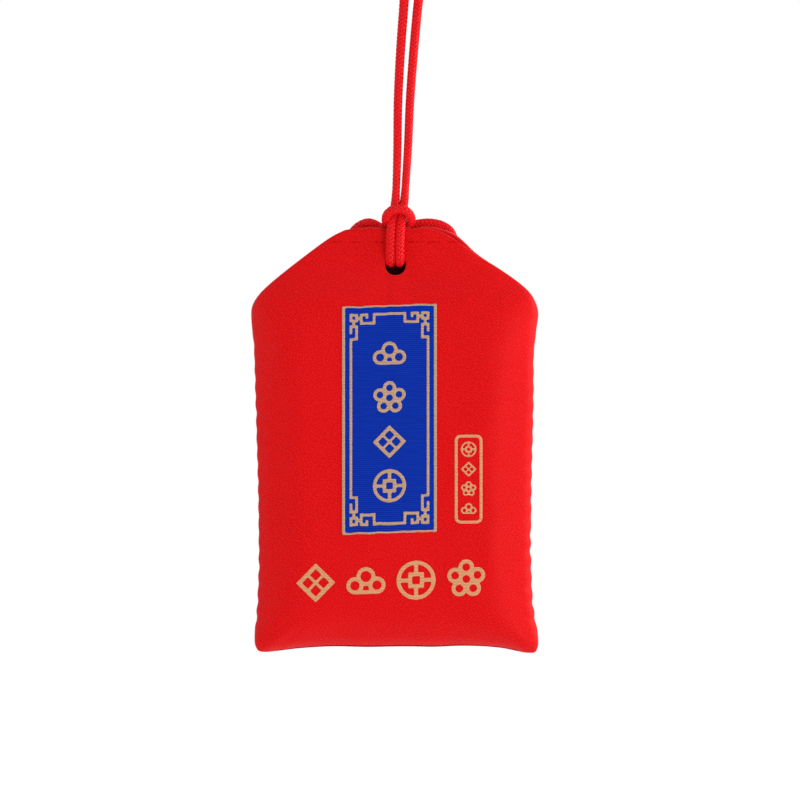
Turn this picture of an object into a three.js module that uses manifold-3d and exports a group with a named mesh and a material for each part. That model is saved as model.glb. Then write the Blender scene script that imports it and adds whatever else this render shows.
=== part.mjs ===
// Amulet pouch: a flat brocade bag with folded-in shoulders, padded round a wrapped tablet and hung
// by a braided cord that is hitched through a hole under its mouth.
// Millimetres, +Z up, front face towards -Y. The origin is where the hanging loop rests on its hook.
// Inside the assembly group, x = 0 is the pouch's middle, y = 0 its mid-plane and z = 0 its foot.
import * as THREE from 'three';
import { mergeVertices } from 'three/addons/utils/BufferGeometryUtils.js';
import Module from 'manifold-3d';

const wasm = await Module();
wasm.setup();

// Clearances
const GAP = 0.3; // between layers that lie on each other
const THREAD_GAP = 0.1; // round a sewing thread

// Outline of the pouch, seen from the front
const SHOULDER_WIDTH = 60;
const WAIST_WIDTH = 56.9;
const FOOT_WIDTH = 59.6;
const MOUTH_WIDTH = 25; // top edge, between the shoulder folds
const POUCH_HEIGHT = 89;
const SHOULDER_HEIGHT = 71.5;
const WAIST_HEIGHT = 25;
const FOOT_CORNER_RADIUS = 2.4;
const FOOT_RISE = 1.1; // the bottom fold arches up between its corners

// Thickness of the pouch
const POUCH_THICKNESS = 7.2;
const CLOTH_THICKNESS = 0.75;
const SEAM_THICKNESS = 2.5; // along the sewn sides
const FOLD_THICKNESS = 1.9; // along the bottom fold
const TOP_THICKNESS = 3.7; // round the hole and the mouth
const SIDE_ROLL = 7.2; // width over which the face rounds into the side seam
const FOOT_ROLL = 8; // height over which it rounds into the bottom fold

// Cord hole and sewing
const HOLE_DIAMETER = 4.4;
const HOLE_HEIGHT = 81.15;
const ROUND_SIDES = 24; // of the hole and of round marks
const HEM_DEPTH = 4.2; // turned-in cloth under the top edge
const HEM_STITCH_DROP = 3; // stitch line below the top edge
const STITCH_LENGTH = 3.6;
const THREAD_DIAMETER = 0.3;
const THREAD_SIDES = 6;

// Amulet and wadding inside
const TABLET_THICKNESS = 1.6;
const PAPER_THICKNESS = 0.3;
const AMULET_TRAVEL = 5; // free height above the amulet
const AMULET_SIDE_ROOM = 0.4;
const AMULET_FOOT = 2.6; // bottom of the amulet above the foot of the pouch
const PAPER_OVERHANG = 0.8; // wrapper past the tablet's ends

// Woven ornament on the face
const BLUE_RELIEF = 0.2;
const GOLD_RELIEF = 0.2;
const FIELD_WIDTH = 19.8;
const FIELD_HEIGHT = 48;
const FIELD_X = -1.26;
const FIELD_FOOT = 24.7;
const FIELD_SLANT = Math.tan(THREE.MathUtils.degToRad(1.8)); // the weft rises to the right
const BORDER_LINE = 0.6; // along the field's sides
const BORDER_HEAD = 0.35; // along its head and foot
const FRET_INSET = 1.55; // from the field's edge to the fret's outer side
const FRET_WIDTH = 0.55;
const FRET_CELL = 1.2; // width of the small square in each corner of the fret
const FIELD_MARK = 7; // width of a mark on the field
const FIELD_MARK_PITCH = 9.2;
const SEAL_WIDTH = 5.8;
const SEAL_HEIGHT = 18.6;
const SEAL_X = 15.3;
const SEAL_Z = 36.3;
const SEAL_LINE = 0.6;
const SEAL_CORNER = 1.2;
const SEAL_MARK = 3.3;
const SEAL_MARK_PITCH = 4.15;
const ROW_MARK = 8.2;
const ROW_MARK_PITCH = 10.5;
const ROW_X = -0.95;
const ROW_Z = 15;
const ROW_SLANT = Math.tan(THREE.MathUtils.degToRad(1.5));
const MARK_LINE = 0.1; // width of a mark's lines, as a share of its width

// Fret border: in each corner the line steps in, turns a hook, crosses a small square and hooks again.
// Bars run between points counted in cells from the fret's corner: inwards along the head, then down.
const FRET_BARS = [
  [[0, 4.25], [1, 4.25]], [[1, 4.25], [1, 2]], [[0, 2], [1, 2]], [[0, 2], [0, 3.1]],
  [[0.5, 2], [0.5, 1]], [[0, 0], [1, 0]], [[1, 0], [1, 1]], [[0, 1], [1, 1]], [[0, 0], [0, 1]],
  [[1, 0.6], [1.8, 0.6]], [[1.8, 0], [1.8, 1.5]], [[1.8, 0], [2.8, 0]], [[2.8, 0], [2.8, 0.5]],
  [[1.8, 1.5], [4.05, 1.5]], [[4.05, 1.5], [4.05, 0]],
];

// Cord
const CORD_DIAMETER = 1.9;
const CORD_SIDES = 8;
const STRAND_STEP = 3.6; // length of a straight part of a strand's tube
const HITCH_STEP = 1.1; // and of the tightly bent parts of the hitch and the knot
const SWING_AXIS = { y: -1.4, z: 95 }; // the strands bend here
const KNOT_RADIUS = 2.4; // middle of the end knot's loops
const KNOT_SWING = 1.1; // how far the loops swing in and out, and over and under
const KNOT_STEPS = 60;
const KNOT_CENTRE = [5.1, 0, 172.4];
const HOOK = [5.1, 0, 165.5]; // underside of the loop's crown

// Routes of the cord's stretches, from the end knot down to the hitch and back
const CORD_ROUTES = {
  left_upper_strand: [
    [1.74, -0.58, 137.8], [2.05, -0.5, 143], [1.95, -0.4, 149], [1.35, -0.25, 155], [1.3, -0.15, 160.5],
    [2.2, -0.05, 164.4], [3.5, 0, 166.9], [4.05, 0, 168.6],
  ],
  right_upper_strand: [
    [4.8, -0.58, 137.8], [5.6, -0.5, 143], [6.9, -0.4, 149], [8.3, -0.25, 155], [8.8, -0.15, 160.5],
    [8.0, -0.05, 164.4], [6.7, 0, 166.9], [6.15, 0, 168.6],
  ],
  left_lower_strand: [
    [-0.15, -1.4, 95], [-0.1, -1.38, 97], [0.3, -1.2, 105.5], [0.55, -1.0, 116], [1.05, -0.8, 126.5],
    [1.72, -0.6, 137.5],
  ],
  right_lower_strand: [
    [1.95, -1.4, 95], [2.0, -1.38, 97], [2.55, -1.2, 105.5], [3.05, -1.0, 116], [3.79, -0.8, 126.5],
    [4.76, -0.6, 137.5],
  ],
  left_leg: [
    [-0.22, -1.65, 93.7], [-0.75, -2.25, 91.5], [-1.0, -2.85, 89.2], [-1.05, -3.0, 87], [-1.05, -3.0, 84.7],
    [-1.05, -2.85, 83.3], [-1.05, -2.2, 82], [-1.05, -1, 81.3], [-1.05, 0.2, 81.15], [-1.05, 1.2, 81.15],
  ],
  right_leg: [
    [1.95, -1.65, 93.7], [1.4, -2.25, 91.5], [1.1, -2.85, 89.2], [1.05, -3.0, 87], [1.05, -3.0, 84.7],
    [1.05, -2.85, 83.3], [1.05, -2.2, 82], [1.05, -1, 81.3], [1.05, 0.2, 81.15], [1.05, 1.2, 81.15],
  ],
  left_ear: [
    [-3.26, 1.9, 90.47], [-3.6, 2.45, 90.42], [-4.4, 2.85, 90.35], [-5.8, 3.0, 90.1], [-7.6, 3.05, 89.2],
    [-9.2, 3.05, 87.7], [-9.9, 3.05, 85.6], [-8.9, 3.1, 83.4], [-6.6, 3.2, 82.1], [-4, 3.3, 81.6],
    [-2.3, 3.05, 81.35], [-1.35, 2.4, 81.2], [-1.05, 1.5, 81.15],
  ],
  right_ear: [
    [3.9, 1.9, 90.62], [4.25, 2.45, 90.55], [5.1, 2.85, 90.45], [6.9, 3.0, 90.25], [9.4, 3.05, 89.65],
    [11.2, 3.05, 88.4], [12.1, 3.05, 86.8], [12.0, 3.05, 85], [10.6, 3.1, 83.2], [7.6, 3.2, 82],
    [4.4, 3.3, 81.6], [2.4, 3.05, 81.35], [1.35, 2.4, 81.2], [1.05, 1.5, 81.15],
  ],
  hitch_band: [
    [-3.14, 1.5, 90.52], [-2.95, 0.2, 90.52], [-2.9, -1.4, 90.62], [-2.85, -2.7, 90.95], [-2.15, -3.8, 91.8],
    [-0.8, -4.35, 92.6], [0.65, -4.45, 92.85], [2.0, -4.35, 92.5], [2.95, -3.8, 91.8], [3.5, -2.7, 90.95],
    [3.5, -1.4, 90.7], [3.58, 0.2, 90.65], [3.78, 1.5, 90.65],
  ],
  left_tail: [[1.9, 0, 174.5], [1.1, 0.15, 175], [0.4, 0.4, 176.6], [0.1, 0.6, 178.6]],
  right_tail: [[8.3, 0, 174.5], [9.1, 0.15, 175], [9.8, 0.4, 176.6], [10.4, 0.7, 178.4]],
};

const RED_CLOTH = { color: 0xd81216, roughness: 0.5, metalness: 0 };
const RED_THREAD = { color: 0xb81014, roughness: 0.6, metalness: 0 };
const RED_CORD = { color: 0xe81a22, roughness: 0.55, metalness: 0 };
const BLUE_WEFT = { color: 0x0a2fa0, roughness: 0.6, metalness: 0 };
const GOLD_WEFT = { color: 0xc8a36c, roughness: 0.45, metalness: 0.1 };
const BASSWOOD = { color: 0xd9bd8c, roughness: 0.7, metalness: 0 };
const WHITE_PAPER = { color: 0xf1ece0, roughness: 0.85, metalness: 0 };
const WADDING = { color: 0xe9e7e2, roughness: 0.95, metalness: 0 };

const assembly = new THREE.Group();
assembly.position.set(-HOOK[0], -HOOK[1], -HOOK[2]);

function add(name, geometry, finish) {
  const mesh = new THREE.Mesh(geometry, new THREE.MeshStandardMaterial(finish));
  mesh.name = name;
  assembly.add(mesh);
}

// Joining and cutting of closed meshes
function solidOf(geometry) {
  const bare = geometry.clone();
  bare.deleteAttribute('normal');
  bare.deleteAttribute('uv');
  const merged = mergeVertices(bare, 1e-5);
  const vertProperties = new Float32Array(merged.attributes.position.array);
  const triVerts = new Uint32Array(merged.index.array);
  return new wasm.Manifold(new wasm.Mesh({ numProp: 3, vertProperties, triVerts }));
}

function geometryOf(solid) {
  const mesh = solid.getMesh();
  const geometry = new THREE.BufferGeometry();
  geometry.setAttribute('position', new THREE.BufferAttribute(new Float32Array(mesh.vertProperties), 3));
  geometry.setIndex(new THREE.BufferAttribute(new Uint32Array(mesh.triVerts), 1));
  return geometry;
}

function cut(geometry, ...tools) {
  return geometryOf(tools.reduce((left, tool) => left.subtract(solidOf(tool)), solidOf(geometry)));
}

function join(...geometries) {
  return geometryOf(geometries.map(solidOf).reduce((all, next) => all.add(next)));
}

function box(low, high) {
  const size = high.map((value, axis) => value - low[axis]);
  return new THREE.BoxGeometry(...size).translate(...high.map((value, axis) => (value + low[axis]) / 2));
}

// A plate drawn in x and z, standing from y = back forwards to y = back - thickness
function plate(shape, back, thickness) {
  const geometry = new THREE.ExtrudeGeometry(shape, { depth: thickness, bevelEnabled: false });
  return geometry.rotateX(Math.PI / 2).translate(0, back, 0);
}

function polygon(points) {
  return new THREE.Shape(points.map(([x, z]) => new THREE.Vector2(x, z)));
}

// Height rises with x, as the ornament's weft does
function slanted(geometry, slant) {
  return geometry.applyMatrix4(new THREE.Matrix4().makeShear(0, slant, 0, 0, 0, 0));
}

// Form of the pouch
const flatTopStart = HOLE_HEIGHT - HOLE_DIAMETER / 2 - GAP;
const faceTop = FIELD_FOOT + FIELD_HEIGHT + FIELD_WIDTH / 2 * FIELD_SLANT + GAP;
const shoulderRun = (SHOULDER_WIDTH - MOUTH_WIDTH) / 2;
const shoulderRise = POUCH_HEIGHT - SHOULDER_HEIGHT;

function halfWidth(z) {
  if (z > SHOULDER_HEIGHT) {
    return SHOULDER_WIDTH / 2 - shoulderRun * (z - SHOULDER_HEIGHT) / shoulderRise;
  }
  const below = z < WAIST_HEIGHT;
  const reach = below ? WAIST_HEIGHT : SHOULDER_HEIGHT - WAIST_HEIGHT;
  const flare = ((below ? FOOT_WIDTH : SHOULDER_WIDTH) - WAIST_WIDTH) / 2;
  const away = Math.abs(z - WAIST_HEIGHT) / reach;
  const corner = Math.max(FOOT_CORNER_RADIUS - z, 0);
  const rounding = FOOT_CORNER_RADIUS - Math.sqrt(FOOT_CORNER_RADIUS ** 2 - corner ** 2);
  return WAIST_WIDTH / 2 + flare * away ** 2 - rounding;
}

function rounded(share) {
  return Math.sqrt(1 - (1 - THREE.MathUtils.clamp(share, 0, 1)) ** 2);
}

// Half of the thickness at the middle of a level
function coreHalf(z) {
  if (z > faceTop) {
    const fall = THREE.MathUtils.smoothstep(z, faceTop, flatTopStart);
    return THREE.MathUtils.lerp(POUCH_THICKNESS, TOP_THICKNESS, fall) / 2;
  }
  return THREE.MathUtils.lerp(FOLD_THICKNESS, POUCH_THICKNESS, rounded(z / FOOT_ROLL)) / 2;
}

// Half of the thickness at the edge of a level: a seam below the shoulder, a fold above it
function edgeHalf(z) {
  const folded = THREE.MathUtils.smoothstep(z, SHOULDER_HEIGHT - SEAM_THICKNESS, SHOULDER_HEIGHT);
  return Math.min(THREE.MathUtils.lerp(SEAM_THICKNESS, TOP_THICKNESS, folded) / 2, coreHalf(z));
}

function half(x, z) {
  const roll = rounded((halfWidth(z) - Math.abs(x)) / SIDE_ROLL);
  return THREE.MathUtils.lerp(edgeHalf(z), coreHalf(z), roll);
}

// Levels and columns of the panels' grid, closer where the cloth rounds
function levels() {
  const foot = [0, 0.05, 0.15, 0.32, 0.6, 1].map((share) => share * FOOT_ROLL);
  const face = [0.2, 0.4, 0.6, 0.8].map((share) => THREE.MathUtils.lerp(FOOT_ROLL, SHOULDER_HEIGHT, share));
  const shoulder = [SHOULDER_HEIGHT - SEAM_THICKNESS, SHOULDER_HEIGHT, faceTop];
  const fall = [0.3, 0.6, 1].map((share) => THREE.MathUtils.lerp(faceTop, flatTopStart, share));
  const mouth = [HOLE_HEIGHT + HOLE_DIAMETER, POUCH_HEIGHT];
  return [...foot, ...face, ...shoulder, ...fall, ...mouth].sort((a, b) => a - b);
}

function columns(z) {
  const edge = halfWidth(z);
  const flat = Math.max(edge - SIDE_ROLL, 0);
  const outer = [0.6, 0.3, 0.1, 0].map((share) => edge - share * (edge - flat));
  const right = [flat / 2, flat, ...outer];
  return [...right.map((x) => -x).reverse(), 0, ...right];
}

// One panel of cloth; side is -1 for the front and 1 for the back
function panel(side) {
  const rows = levels();
  const positions = [];
  const wide = columns(0).length;
  const count = rows.length * wide;
  for (const inset of [0, CLOTH_THICKNESS]) {
    for (const z of rows) {
      const arch = FOOT_RISE * Math.max(1 - z / FOOT_ROLL, 0);
      for (const x of columns(z)) {
        const lift = arch * Math.cos(Math.PI / 2 * x / halfWidth(z));
        positions.push(x, side * (half(x, z) - inset), z + lift);
      }
    }
  }
  const index = [];
  const quad = (a, b, c, d) => {
    index.push(...(side < 0 ? [a, b, c, a, c, d] : [a, c, b, a, d, c]));
  };
  for (let row = 0; row + 1 < rows.length; row += 1) {
    for (let column = 0; column + 1 < wide; column += 1) {
      const at = row * wide + column;
      quad(at, at + 1, at + wide + 1, at + wide);
      quad(count + at, count + at + wide, count + at + wide + 1, count + at + 1);
    }
    const left = row * wide;
    const right = left + wide - 1;
    quad(left, left + wide, count + left + wide, count + left);
    quad(right, count + right, count + right + wide, right + wide);
  }
  const top = (rows.length - 1) * wide;
  for (let column = 0; column + 1 < wide; column += 1) {
    quad(column, count + column, count + column + 1, column + 1);
    quad(top + column, top + column + 1, count + top + column + 1, count + top + column);
  }
  const geometry = new THREE.BufferGeometry();
  geometry.setAttribute('position', new THREE.BufferAttribute(new Float32Array(positions), 3));
  geometry.setIndex(index);
  const radius = HOLE_DIAMETER / 2;
  const hole = new THREE.CylinderGeometry(radius, radius, POUCH_THICKNESS * 2, ROUND_SIDES);
  hole.translate(0, 0, HOLE_HEIGHT);
  return cut(geometry, hole, stitchGroove(side));
}

// Room for the hems and the folded corners between the panels
const liningHalf = TOP_THICKNESS / 2 - CLOTH_THICKNESS - GAP;
const hemReach = MOUTH_WIDTH / 2 - GAP - CLOTH_THICKNESS;

// The hem's stitches sink into the cloth
const stitchHeight = POUCH_HEIGHT - HEM_STITCH_DROP;
const threadDepth = TOP_THICKNESS / 2 - THREAD_DIAMETER / 2 - THREAD_GAP;

function stitchGroove(side) {
  const open = THREAD_DIAMETER / 2 + THREAD_GAP;
  const depths = [side * (threadDepth - open), side * POUCH_THICKNESS];
  return box(
    [-hemReach - open, Math.min(...depths), stitchHeight - open],
    [hemReach + open, Math.max(...depths), stitchHeight + open],
  );
}

add('front_panel', panel(-1), RED_CLOTH);
add('back_panel', panel(1), RED_CLOTH);

// Turned-in hems, between the folded corners
for (const [name, side] of [['front_hem', -1], ['back_hem', 1]]) {
  const depths = [side * liningHalf, side * GAP / 2];
  add(name, box(
    [-hemReach, Math.min(...depths), POUCH_HEIGHT - HEM_DEPTH],
    [hemReach, Math.max(...depths), POUCH_HEIGHT],
  ), RED_CLOTH);
}

// Upper corners, folded in along the shoulder line and flattened between the panels
function tuckCorners(side) {
  const shoulder = new THREE.Vector2(SHOULDER_WIDTH / 2, SHOULDER_HEIGHT);
  const fold = new THREE.Vector2(-shoulderRun, shoulderRise).normalize();
  const corner = new THREE.Vector2(0, shoulderRise);
  const mirrored = fold.clone().multiplyScalar(2 * corner.dot(fold)).sub(corner).add(shoulder);
  const clear = new THREE.Vector2(-fold.y, fold.x).multiplyScalar(CLOTH_THICKNESS + GAP);
  const low = shoulder.clone().add(clear).addScaledVector(fold, SEAM_THICKNESS);
  const high = shoulder.clone().add(clear).addScaledVector(fold, Math.hypot(shoulderRun, shoulderRise) - GAP);
  return [low, high, mirrored].map((point) => [side * point.x, point.y]);
}

const tuckFoot = Math.min(...tuckCorners(1).map(([, z]) => z));

for (const [name, side] of [['left_corner_tuck', -1], ['right_corner_tuck', 1]]) {
  const corners = tuckCorners(side);
  const body = plate(polygon(side > 0 ? corners : [...corners].reverse()), liningHalf, 2 * liningHalf);
  const slit = box(
    [-SHOULDER_WIDTH, -GAP / 2, corners[0][1] + CLOTH_THICKNESS],
    [SHOULDER_WIDTH, GAP / 2, POUCH_HEIGHT + HEM_DEPTH],
  );
  add(name, cut(body, slit), RED_CLOTH);
}

// Round rods along a route: the cord and the sewing threads
function rod(points, diameter, sides, stepLength) {
  const path = new THREE.CatmullRomCurve3(points.map((point) => new THREE.Vector3(...point)));
  const section = polygon(Array.from({ length: sides }, (_, i) => {
    const turn = 2 * Math.PI * i / sides;
    return [diameter / 2 * Math.cos(turn), diameter / 2 * Math.sin(turn)];
  }));
  return new THREE.ExtrudeGeometry(section, {
    steps: Math.ceil(path.getLength() / stepLength),
    bevelEnabled: false,
    extrudePath: path,
  });
}

// Side seams: a thread that zigzags between the two panels, half a stitch to a leg
const seamInset = THREAD_DIAMETER;
for (const [name, side] of [['left_seam_thread', -1], ['right_seam_thread', 1]]) {
  const legs = Math.floor(2 * (SHOULDER_HEIGHT - SEAM_THICKNESS - FOOT_ROLL) / STITCH_LENGTH);
  const route = Array.from({ length: legs + 1 }, (_, i) => {
    const z = FOOT_ROLL + i * STITCH_LENGTH / 2;
    const sway = i % 2 ? THREAD_DIAMETER / 2 : -THREAD_DIAMETER / 2;
    return [side * (halfWidth(z) - seamInset), sway / 2, z];
  });
  add(name, rod(route, THREAD_DIAMETER, THREAD_SIDES, STITCH_LENGTH / 2), RED_THREAD);
}

// Hem threads, each in its groove
for (const [name, side] of [['front_hem_thread', -1], ['back_hem_thread', 1]]) {
  const depth = side * threadDepth;
  const route = [-hemReach, 0, hemReach].map((x) => [x, depth, stitchHeight]);
  add(name, rod(route, THREAD_DIAMETER, THREAD_SIDES, STITCH_LENGTH), RED_THREAD);
}

// Wrapped amulet: a thin tablet in a paper sleeve
const sleeveHalf = TABLET_THICKNESS / 2 + GAP;
const stackHalf = sleeveHalf + PAPER_THICKNESS;
const amuletHalf = WAIST_WIDTH / 2 - SIDE_ROLL - AMULET_SIDE_ROOM;
const amuletTop = tuckFoot - GAP - AMULET_TRAVEL;
const tabletSide = amuletHalf - PAPER_THICKNESS - GAP;

add('amulet_tablet', box(
  [-tabletSide, -TABLET_THICKNESS / 2, AMULET_FOOT + PAPER_OVERHANG],
  [tabletSide, TABLET_THICKNESS / 2, amuletTop - PAPER_OVERHANG],
), BASSWOOD);
add('paper_wrapper', cut(
  box([-amuletHalf, -stackHalf, AMULET_FOOT], [amuletHalf, stackHalf, amuletTop]),
  box(
    [-amuletHalf + PAPER_THICKNESS, -sleeveHalf, AMULET_FOOT - GAP],
    [amuletHalf - PAPER_THICKNESS, sleeveHalf, amuletTop + GAP],
  ),
), WHITE_PAPER);

// Wadding between the wrapper and each panel
const waddingOuter = POUCH_THICKNESS / 2 - CLOTH_THICKNESS - GAP;
const waddingInner = stackHalf + GAP;
for (const [name, side] of [['front_wadding', -1], ['back_wadding', 1]]) {
  const depths = [side * waddingOuter, side * waddingInner];
  add(name, box(
    [-amuletHalf, Math.min(...depths), FOOT_ROLL + GAP],
    [amuletHalf, Math.max(...depths), Math.min(faceTop, tuckFoot) - GAP],
  ), WADDING);
}

// Woven ornament. Marks are drawn about their own middle, one unit wide.
const faceY = -POUCH_THICKNESS / 2;

function circle(x, z, radius, sides) {
  return Array.from({ length: sides }, (_, i) => {
    const turn = 2 * Math.PI * i / sides;
    return [x + radius * Math.cos(turn), z + radius * Math.sin(turn)];
  });
}

function pierced(outline, ...windows) {
  const shape = polygon(outline);
  shape.holes = windows.map((points) => new THREE.Path(points.map(([x, z]) => new THREE.Vector2(x, z))));
  return shape;
}

function disc(x, z, radius, thickness = GOLD_RELIEF) {
  return plate(polygon(circle(x, z, radius, ROUND_SIDES)), (thickness - GOLD_RELIEF) / 2, thickness);
}

// An eye pierces a mark with room to spare on both sides
function eye(x, z, radius) {
  return disc(x, z, radius, 3 * GOLD_RELIEF);
}

// Blossom of five open petals with an open heart
function blossom() {
  const petal = 0.2;
  const middles = Array.from({ length: 5 }, (_, i) => {
    const turn = 2 * Math.PI * (i / 5 + 0.25);
    return [(0.5 - petal) * Math.cos(turn), (0.5 - petal) * Math.sin(turn)];
  });
  const petals = middles.map(([x, z]) => disc(x, z, petal));
  const eyes = middles.map(([x, z]) => eye(x, z, petal - MARK_LINE));
  return cut(join(disc(0, 0, petal), ...petals), eye(0, 0, petal - MARK_LINE), ...eyes);
}

// Round coin: a rim, a square window and four bars between them
function coin() {
  const rim = cut(disc(0, 0, 0.5), eye(0, 0, 0.5 - MARK_LINE));
  const frame = 0.4;
  const open = frame - 2 * MARK_LINE;
  const reach = 1 - MARK_LINE;
  const bars = [rectangle(reach, MARK_LINE), rectangle(MARK_LINE, reach), rectangle(frame, frame)];
  const whole = join(rim, ...bars.map((shape) => plate(shape, 0, GOLD_RELIEF)));
  return cut(whole, plate(rectangle(open, open), GOLD_RELIEF, 3 * GOLD_RELIEF));
}

// Lozenge lattice with four windows
function lattice() {
  const lozenge = (x, z, reach) => [[x + reach, z], [x, z + reach], [x - reach, z], [x, z - reach]];
  const middles = lozenge(0, 0, 0.2);
  const windows = middles.map(([x, z]) => lozenge(x, z, 0.2 - MARK_LINE / 2));
  return plate(pierced(lozenge(0, 0, 0.5), ...windows), 0, GOLD_RELIEF);
}

// Cloud head: three open lobes over a straight foot
function cloud() {
  const lobes = [[0.28, -0.1, 0.22], [-0.28, -0.1, 0.22], [0, 0.13, 0.24]];
  const foot = plate(rectangle(0.56, MARK_LINE), 0, GOLD_RELIEF).translate(0, 0, MARK_LINE / 2 - 0.32);
  const eyes = lobes.map(([x, z, radius]) => eye(x, z, radius - MARK_LINE));
  return cut(join(...lobes.map((lobe) => disc(...lobe)), foot), ...eyes);
}

function mark(drawing, width, x, z, back, slant) {
  return slanted(drawing.scale(width, 1, width), slant).translate(x, back, z);
}

function rectangle(width, height) {
  return polygon(corners(width, height));
}

function corners(width, height) {
  return [[-1, -1], [1, -1], [1, 1], [-1, 1]].map(([x, z]) => [x * width / 2, z * height / 2]);
}

const fieldZ = FIELD_FOOT + FIELD_HEIGHT / 2;
const onField = faceY - BLUE_RELIEF;

function onFieldSlant(geometry, back) {
  return slanted(geometry, FIELD_SLANT).translate(FIELD_X, back, fieldZ);
}

const ground = plate(rectangle(FIELD_WIDTH, FIELD_HEIGHT), 0, BLUE_RELIEF);
add('blue_field', onFieldSlant(ground, faceY), BLUE_WEFT);
add('gold_border_line', onFieldSlant(plate(pierced(
  corners(FIELD_WIDTH, FIELD_HEIGHT),
  corners(FIELD_WIDTH - 2 * BORDER_LINE, FIELD_HEIGHT - 2 * BORDER_HEAD),
), 0, GOLD_RELIEF), onField), GOLD_WEFT);

function bar(from, to) {
  const grow = FRET_WIDTH / 2;
  return box(
    [Math.min(from[0], to[0]) - grow, -GOLD_RELIEF, Math.min(from[1], to[1]) - grow],
    [Math.max(from[0], to[0]) + grow, 0, Math.max(from[1], to[1]) + grow],
  );
}

function fret() {
  const right = FIELD_WIDTH / 2 - FRET_INSET - FRET_WIDTH / 2;
  const top = FIELD_HEIGHT / 2 - FRET_INSET - FRET_WIDTH / 2;
  const bars = [];
  for (const x of [-1, 1]) {
    for (const z of [-1, 1]) {
      const place = ([across, down]) => [x * (right - across * FRET_CELL), z * (top - down * FRET_CELL)];
      bars.push(...FRET_BARS.map(([from, to]) => bar(place(from), place(to))));
    }
  }
  const stepIn = FRET_BARS[0][0][1] * FRET_CELL;
  const hookIn = FRET_BARS.at(-1)[1][0] * FRET_CELL;
  for (const side of [-1, 1]) {
    bars.push(bar([side * right, stepIn - top], [side * right, top - stepIn]));
    bars.push(bar([hookIn - right, side * top], [right - hookIn, side * top]));
  }
  return join(...bars);
}

add('gold_fret', onFieldSlant(fret(), onField), GOLD_WEFT);

const MARKS = { cloud, blossom, lattice, coin };
['cloud', 'blossom', 'lattice', 'coin'].forEach((kind, i) => {
  const z = fieldZ + (1.5 - i) * FIELD_MARK_PITCH;
  add(`field_${kind}`, mark(MARKS[kind](), FIELD_MARK, FIELD_X, z, onField, FIELD_SLANT), GOLD_WEFT);
});

// Framed column at the right, and the row below the field
function roundedCorners(width, height, radius) {
  return corners(width - 2 * radius, height - 2 * radius).flatMap(([x, z], corner) => (
    Array.from({ length: 5 }, (_, i) => {
      const turn = Math.PI * (1 + corner / 2 + i / 8);
      return [x + radius * Math.cos(turn), z + radius * Math.sin(turn)];
    })
  ));
}

add('seal_frame', plate(pierced(
  roundedCorners(SEAL_WIDTH, SEAL_HEIGHT, SEAL_CORNER),
  roundedCorners(SEAL_WIDTH - 2 * SEAL_LINE, SEAL_HEIGHT - 2 * SEAL_LINE, SEAL_CORNER - SEAL_LINE),
), 0, GOLD_RELIEF).translate(SEAL_X, faceY, SEAL_Z), GOLD_WEFT);
['coin', 'lattice', 'blossom', 'cloud'].forEach((kind, i) => {
  const z = SEAL_Z + (1.5 - i) * SEAL_MARK_PITCH;
  add(`seal_${kind}`, mark(MARKS[kind](), SEAL_MARK, SEAL_X, z, faceY, 0), GOLD_WEFT);
});
['lattice', 'cloud', 'coin', 'blossom'].forEach((kind, i) => {
  const x = (i - 1.5) * ROW_MARK_PITCH;
  const z = ROW_Z + x * ROW_SLANT;
  add(`row_${kind}`, mark(MARKS[kind](), ROW_MARK, ROW_X + x, z, faceY, ROW_SLANT), GOLD_WEFT);
});

// Cord
for (const [name, route] of Object.entries(CORD_ROUTES)) {
  const strand = name.includes('strand');
  const tube = rod(route, CORD_DIAMETER, CORD_SIDES, strand ? STRAND_STEP : HITCH_STEP);
  if (name.includes('lower_strand')) {
    const tip = new THREE.SphereGeometry(CORD_DIAMETER / 2, CORD_SIDES, CORD_SIDES / 2);
    add(name, join(tube, tip.translate(route[0][0], SWING_AXIS.y, SWING_AXIS.z)), RED_CORD);
  } else {
    add(name, tube, RED_CORD);
  }
}

// End knot: an overhand knot, drawn as a three-lobed loop that passes over and under itself
const knotRoute = Array.from({ length: KNOT_STEPS }, (_, i) => {
  const turn = 2 * Math.PI * (i + 0.5) / KNOT_STEPS;
  const reach = KNOT_RADIUS + KNOT_SWING * Math.cos(3 * turn);
  return [
    KNOT_CENTRE[0] + reach * Math.cos(2 * turn + Math.PI / 2),
    KNOT_CENTRE[1] + KNOT_SWING * Math.sin(3 * turn),
    KNOT_CENTRE[2] + reach * Math.sin(2 * turn + Math.PI / 2),
  ];
});
add('end_knot', rod(knotRoute, CORD_DIAMETER, CORD_SIDES, HITCH_STEP), RED_CORD);

export default assembly;
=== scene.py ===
# Amulet pouch: a padded satin brocade bag with folded-in shoulders, hung by a braided cord that is
# hitched through a hole under its mouth. Lengths here are millimetres on the pouch: x from its middle,
# y from its mid-plane and z from its foot, with its front towards -y. Pieces are metres in the row frame.
import math

import bmesh
import bpy
import numpy as np
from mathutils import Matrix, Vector, noise
from mathutils.bvhtree import BVHTree


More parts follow.
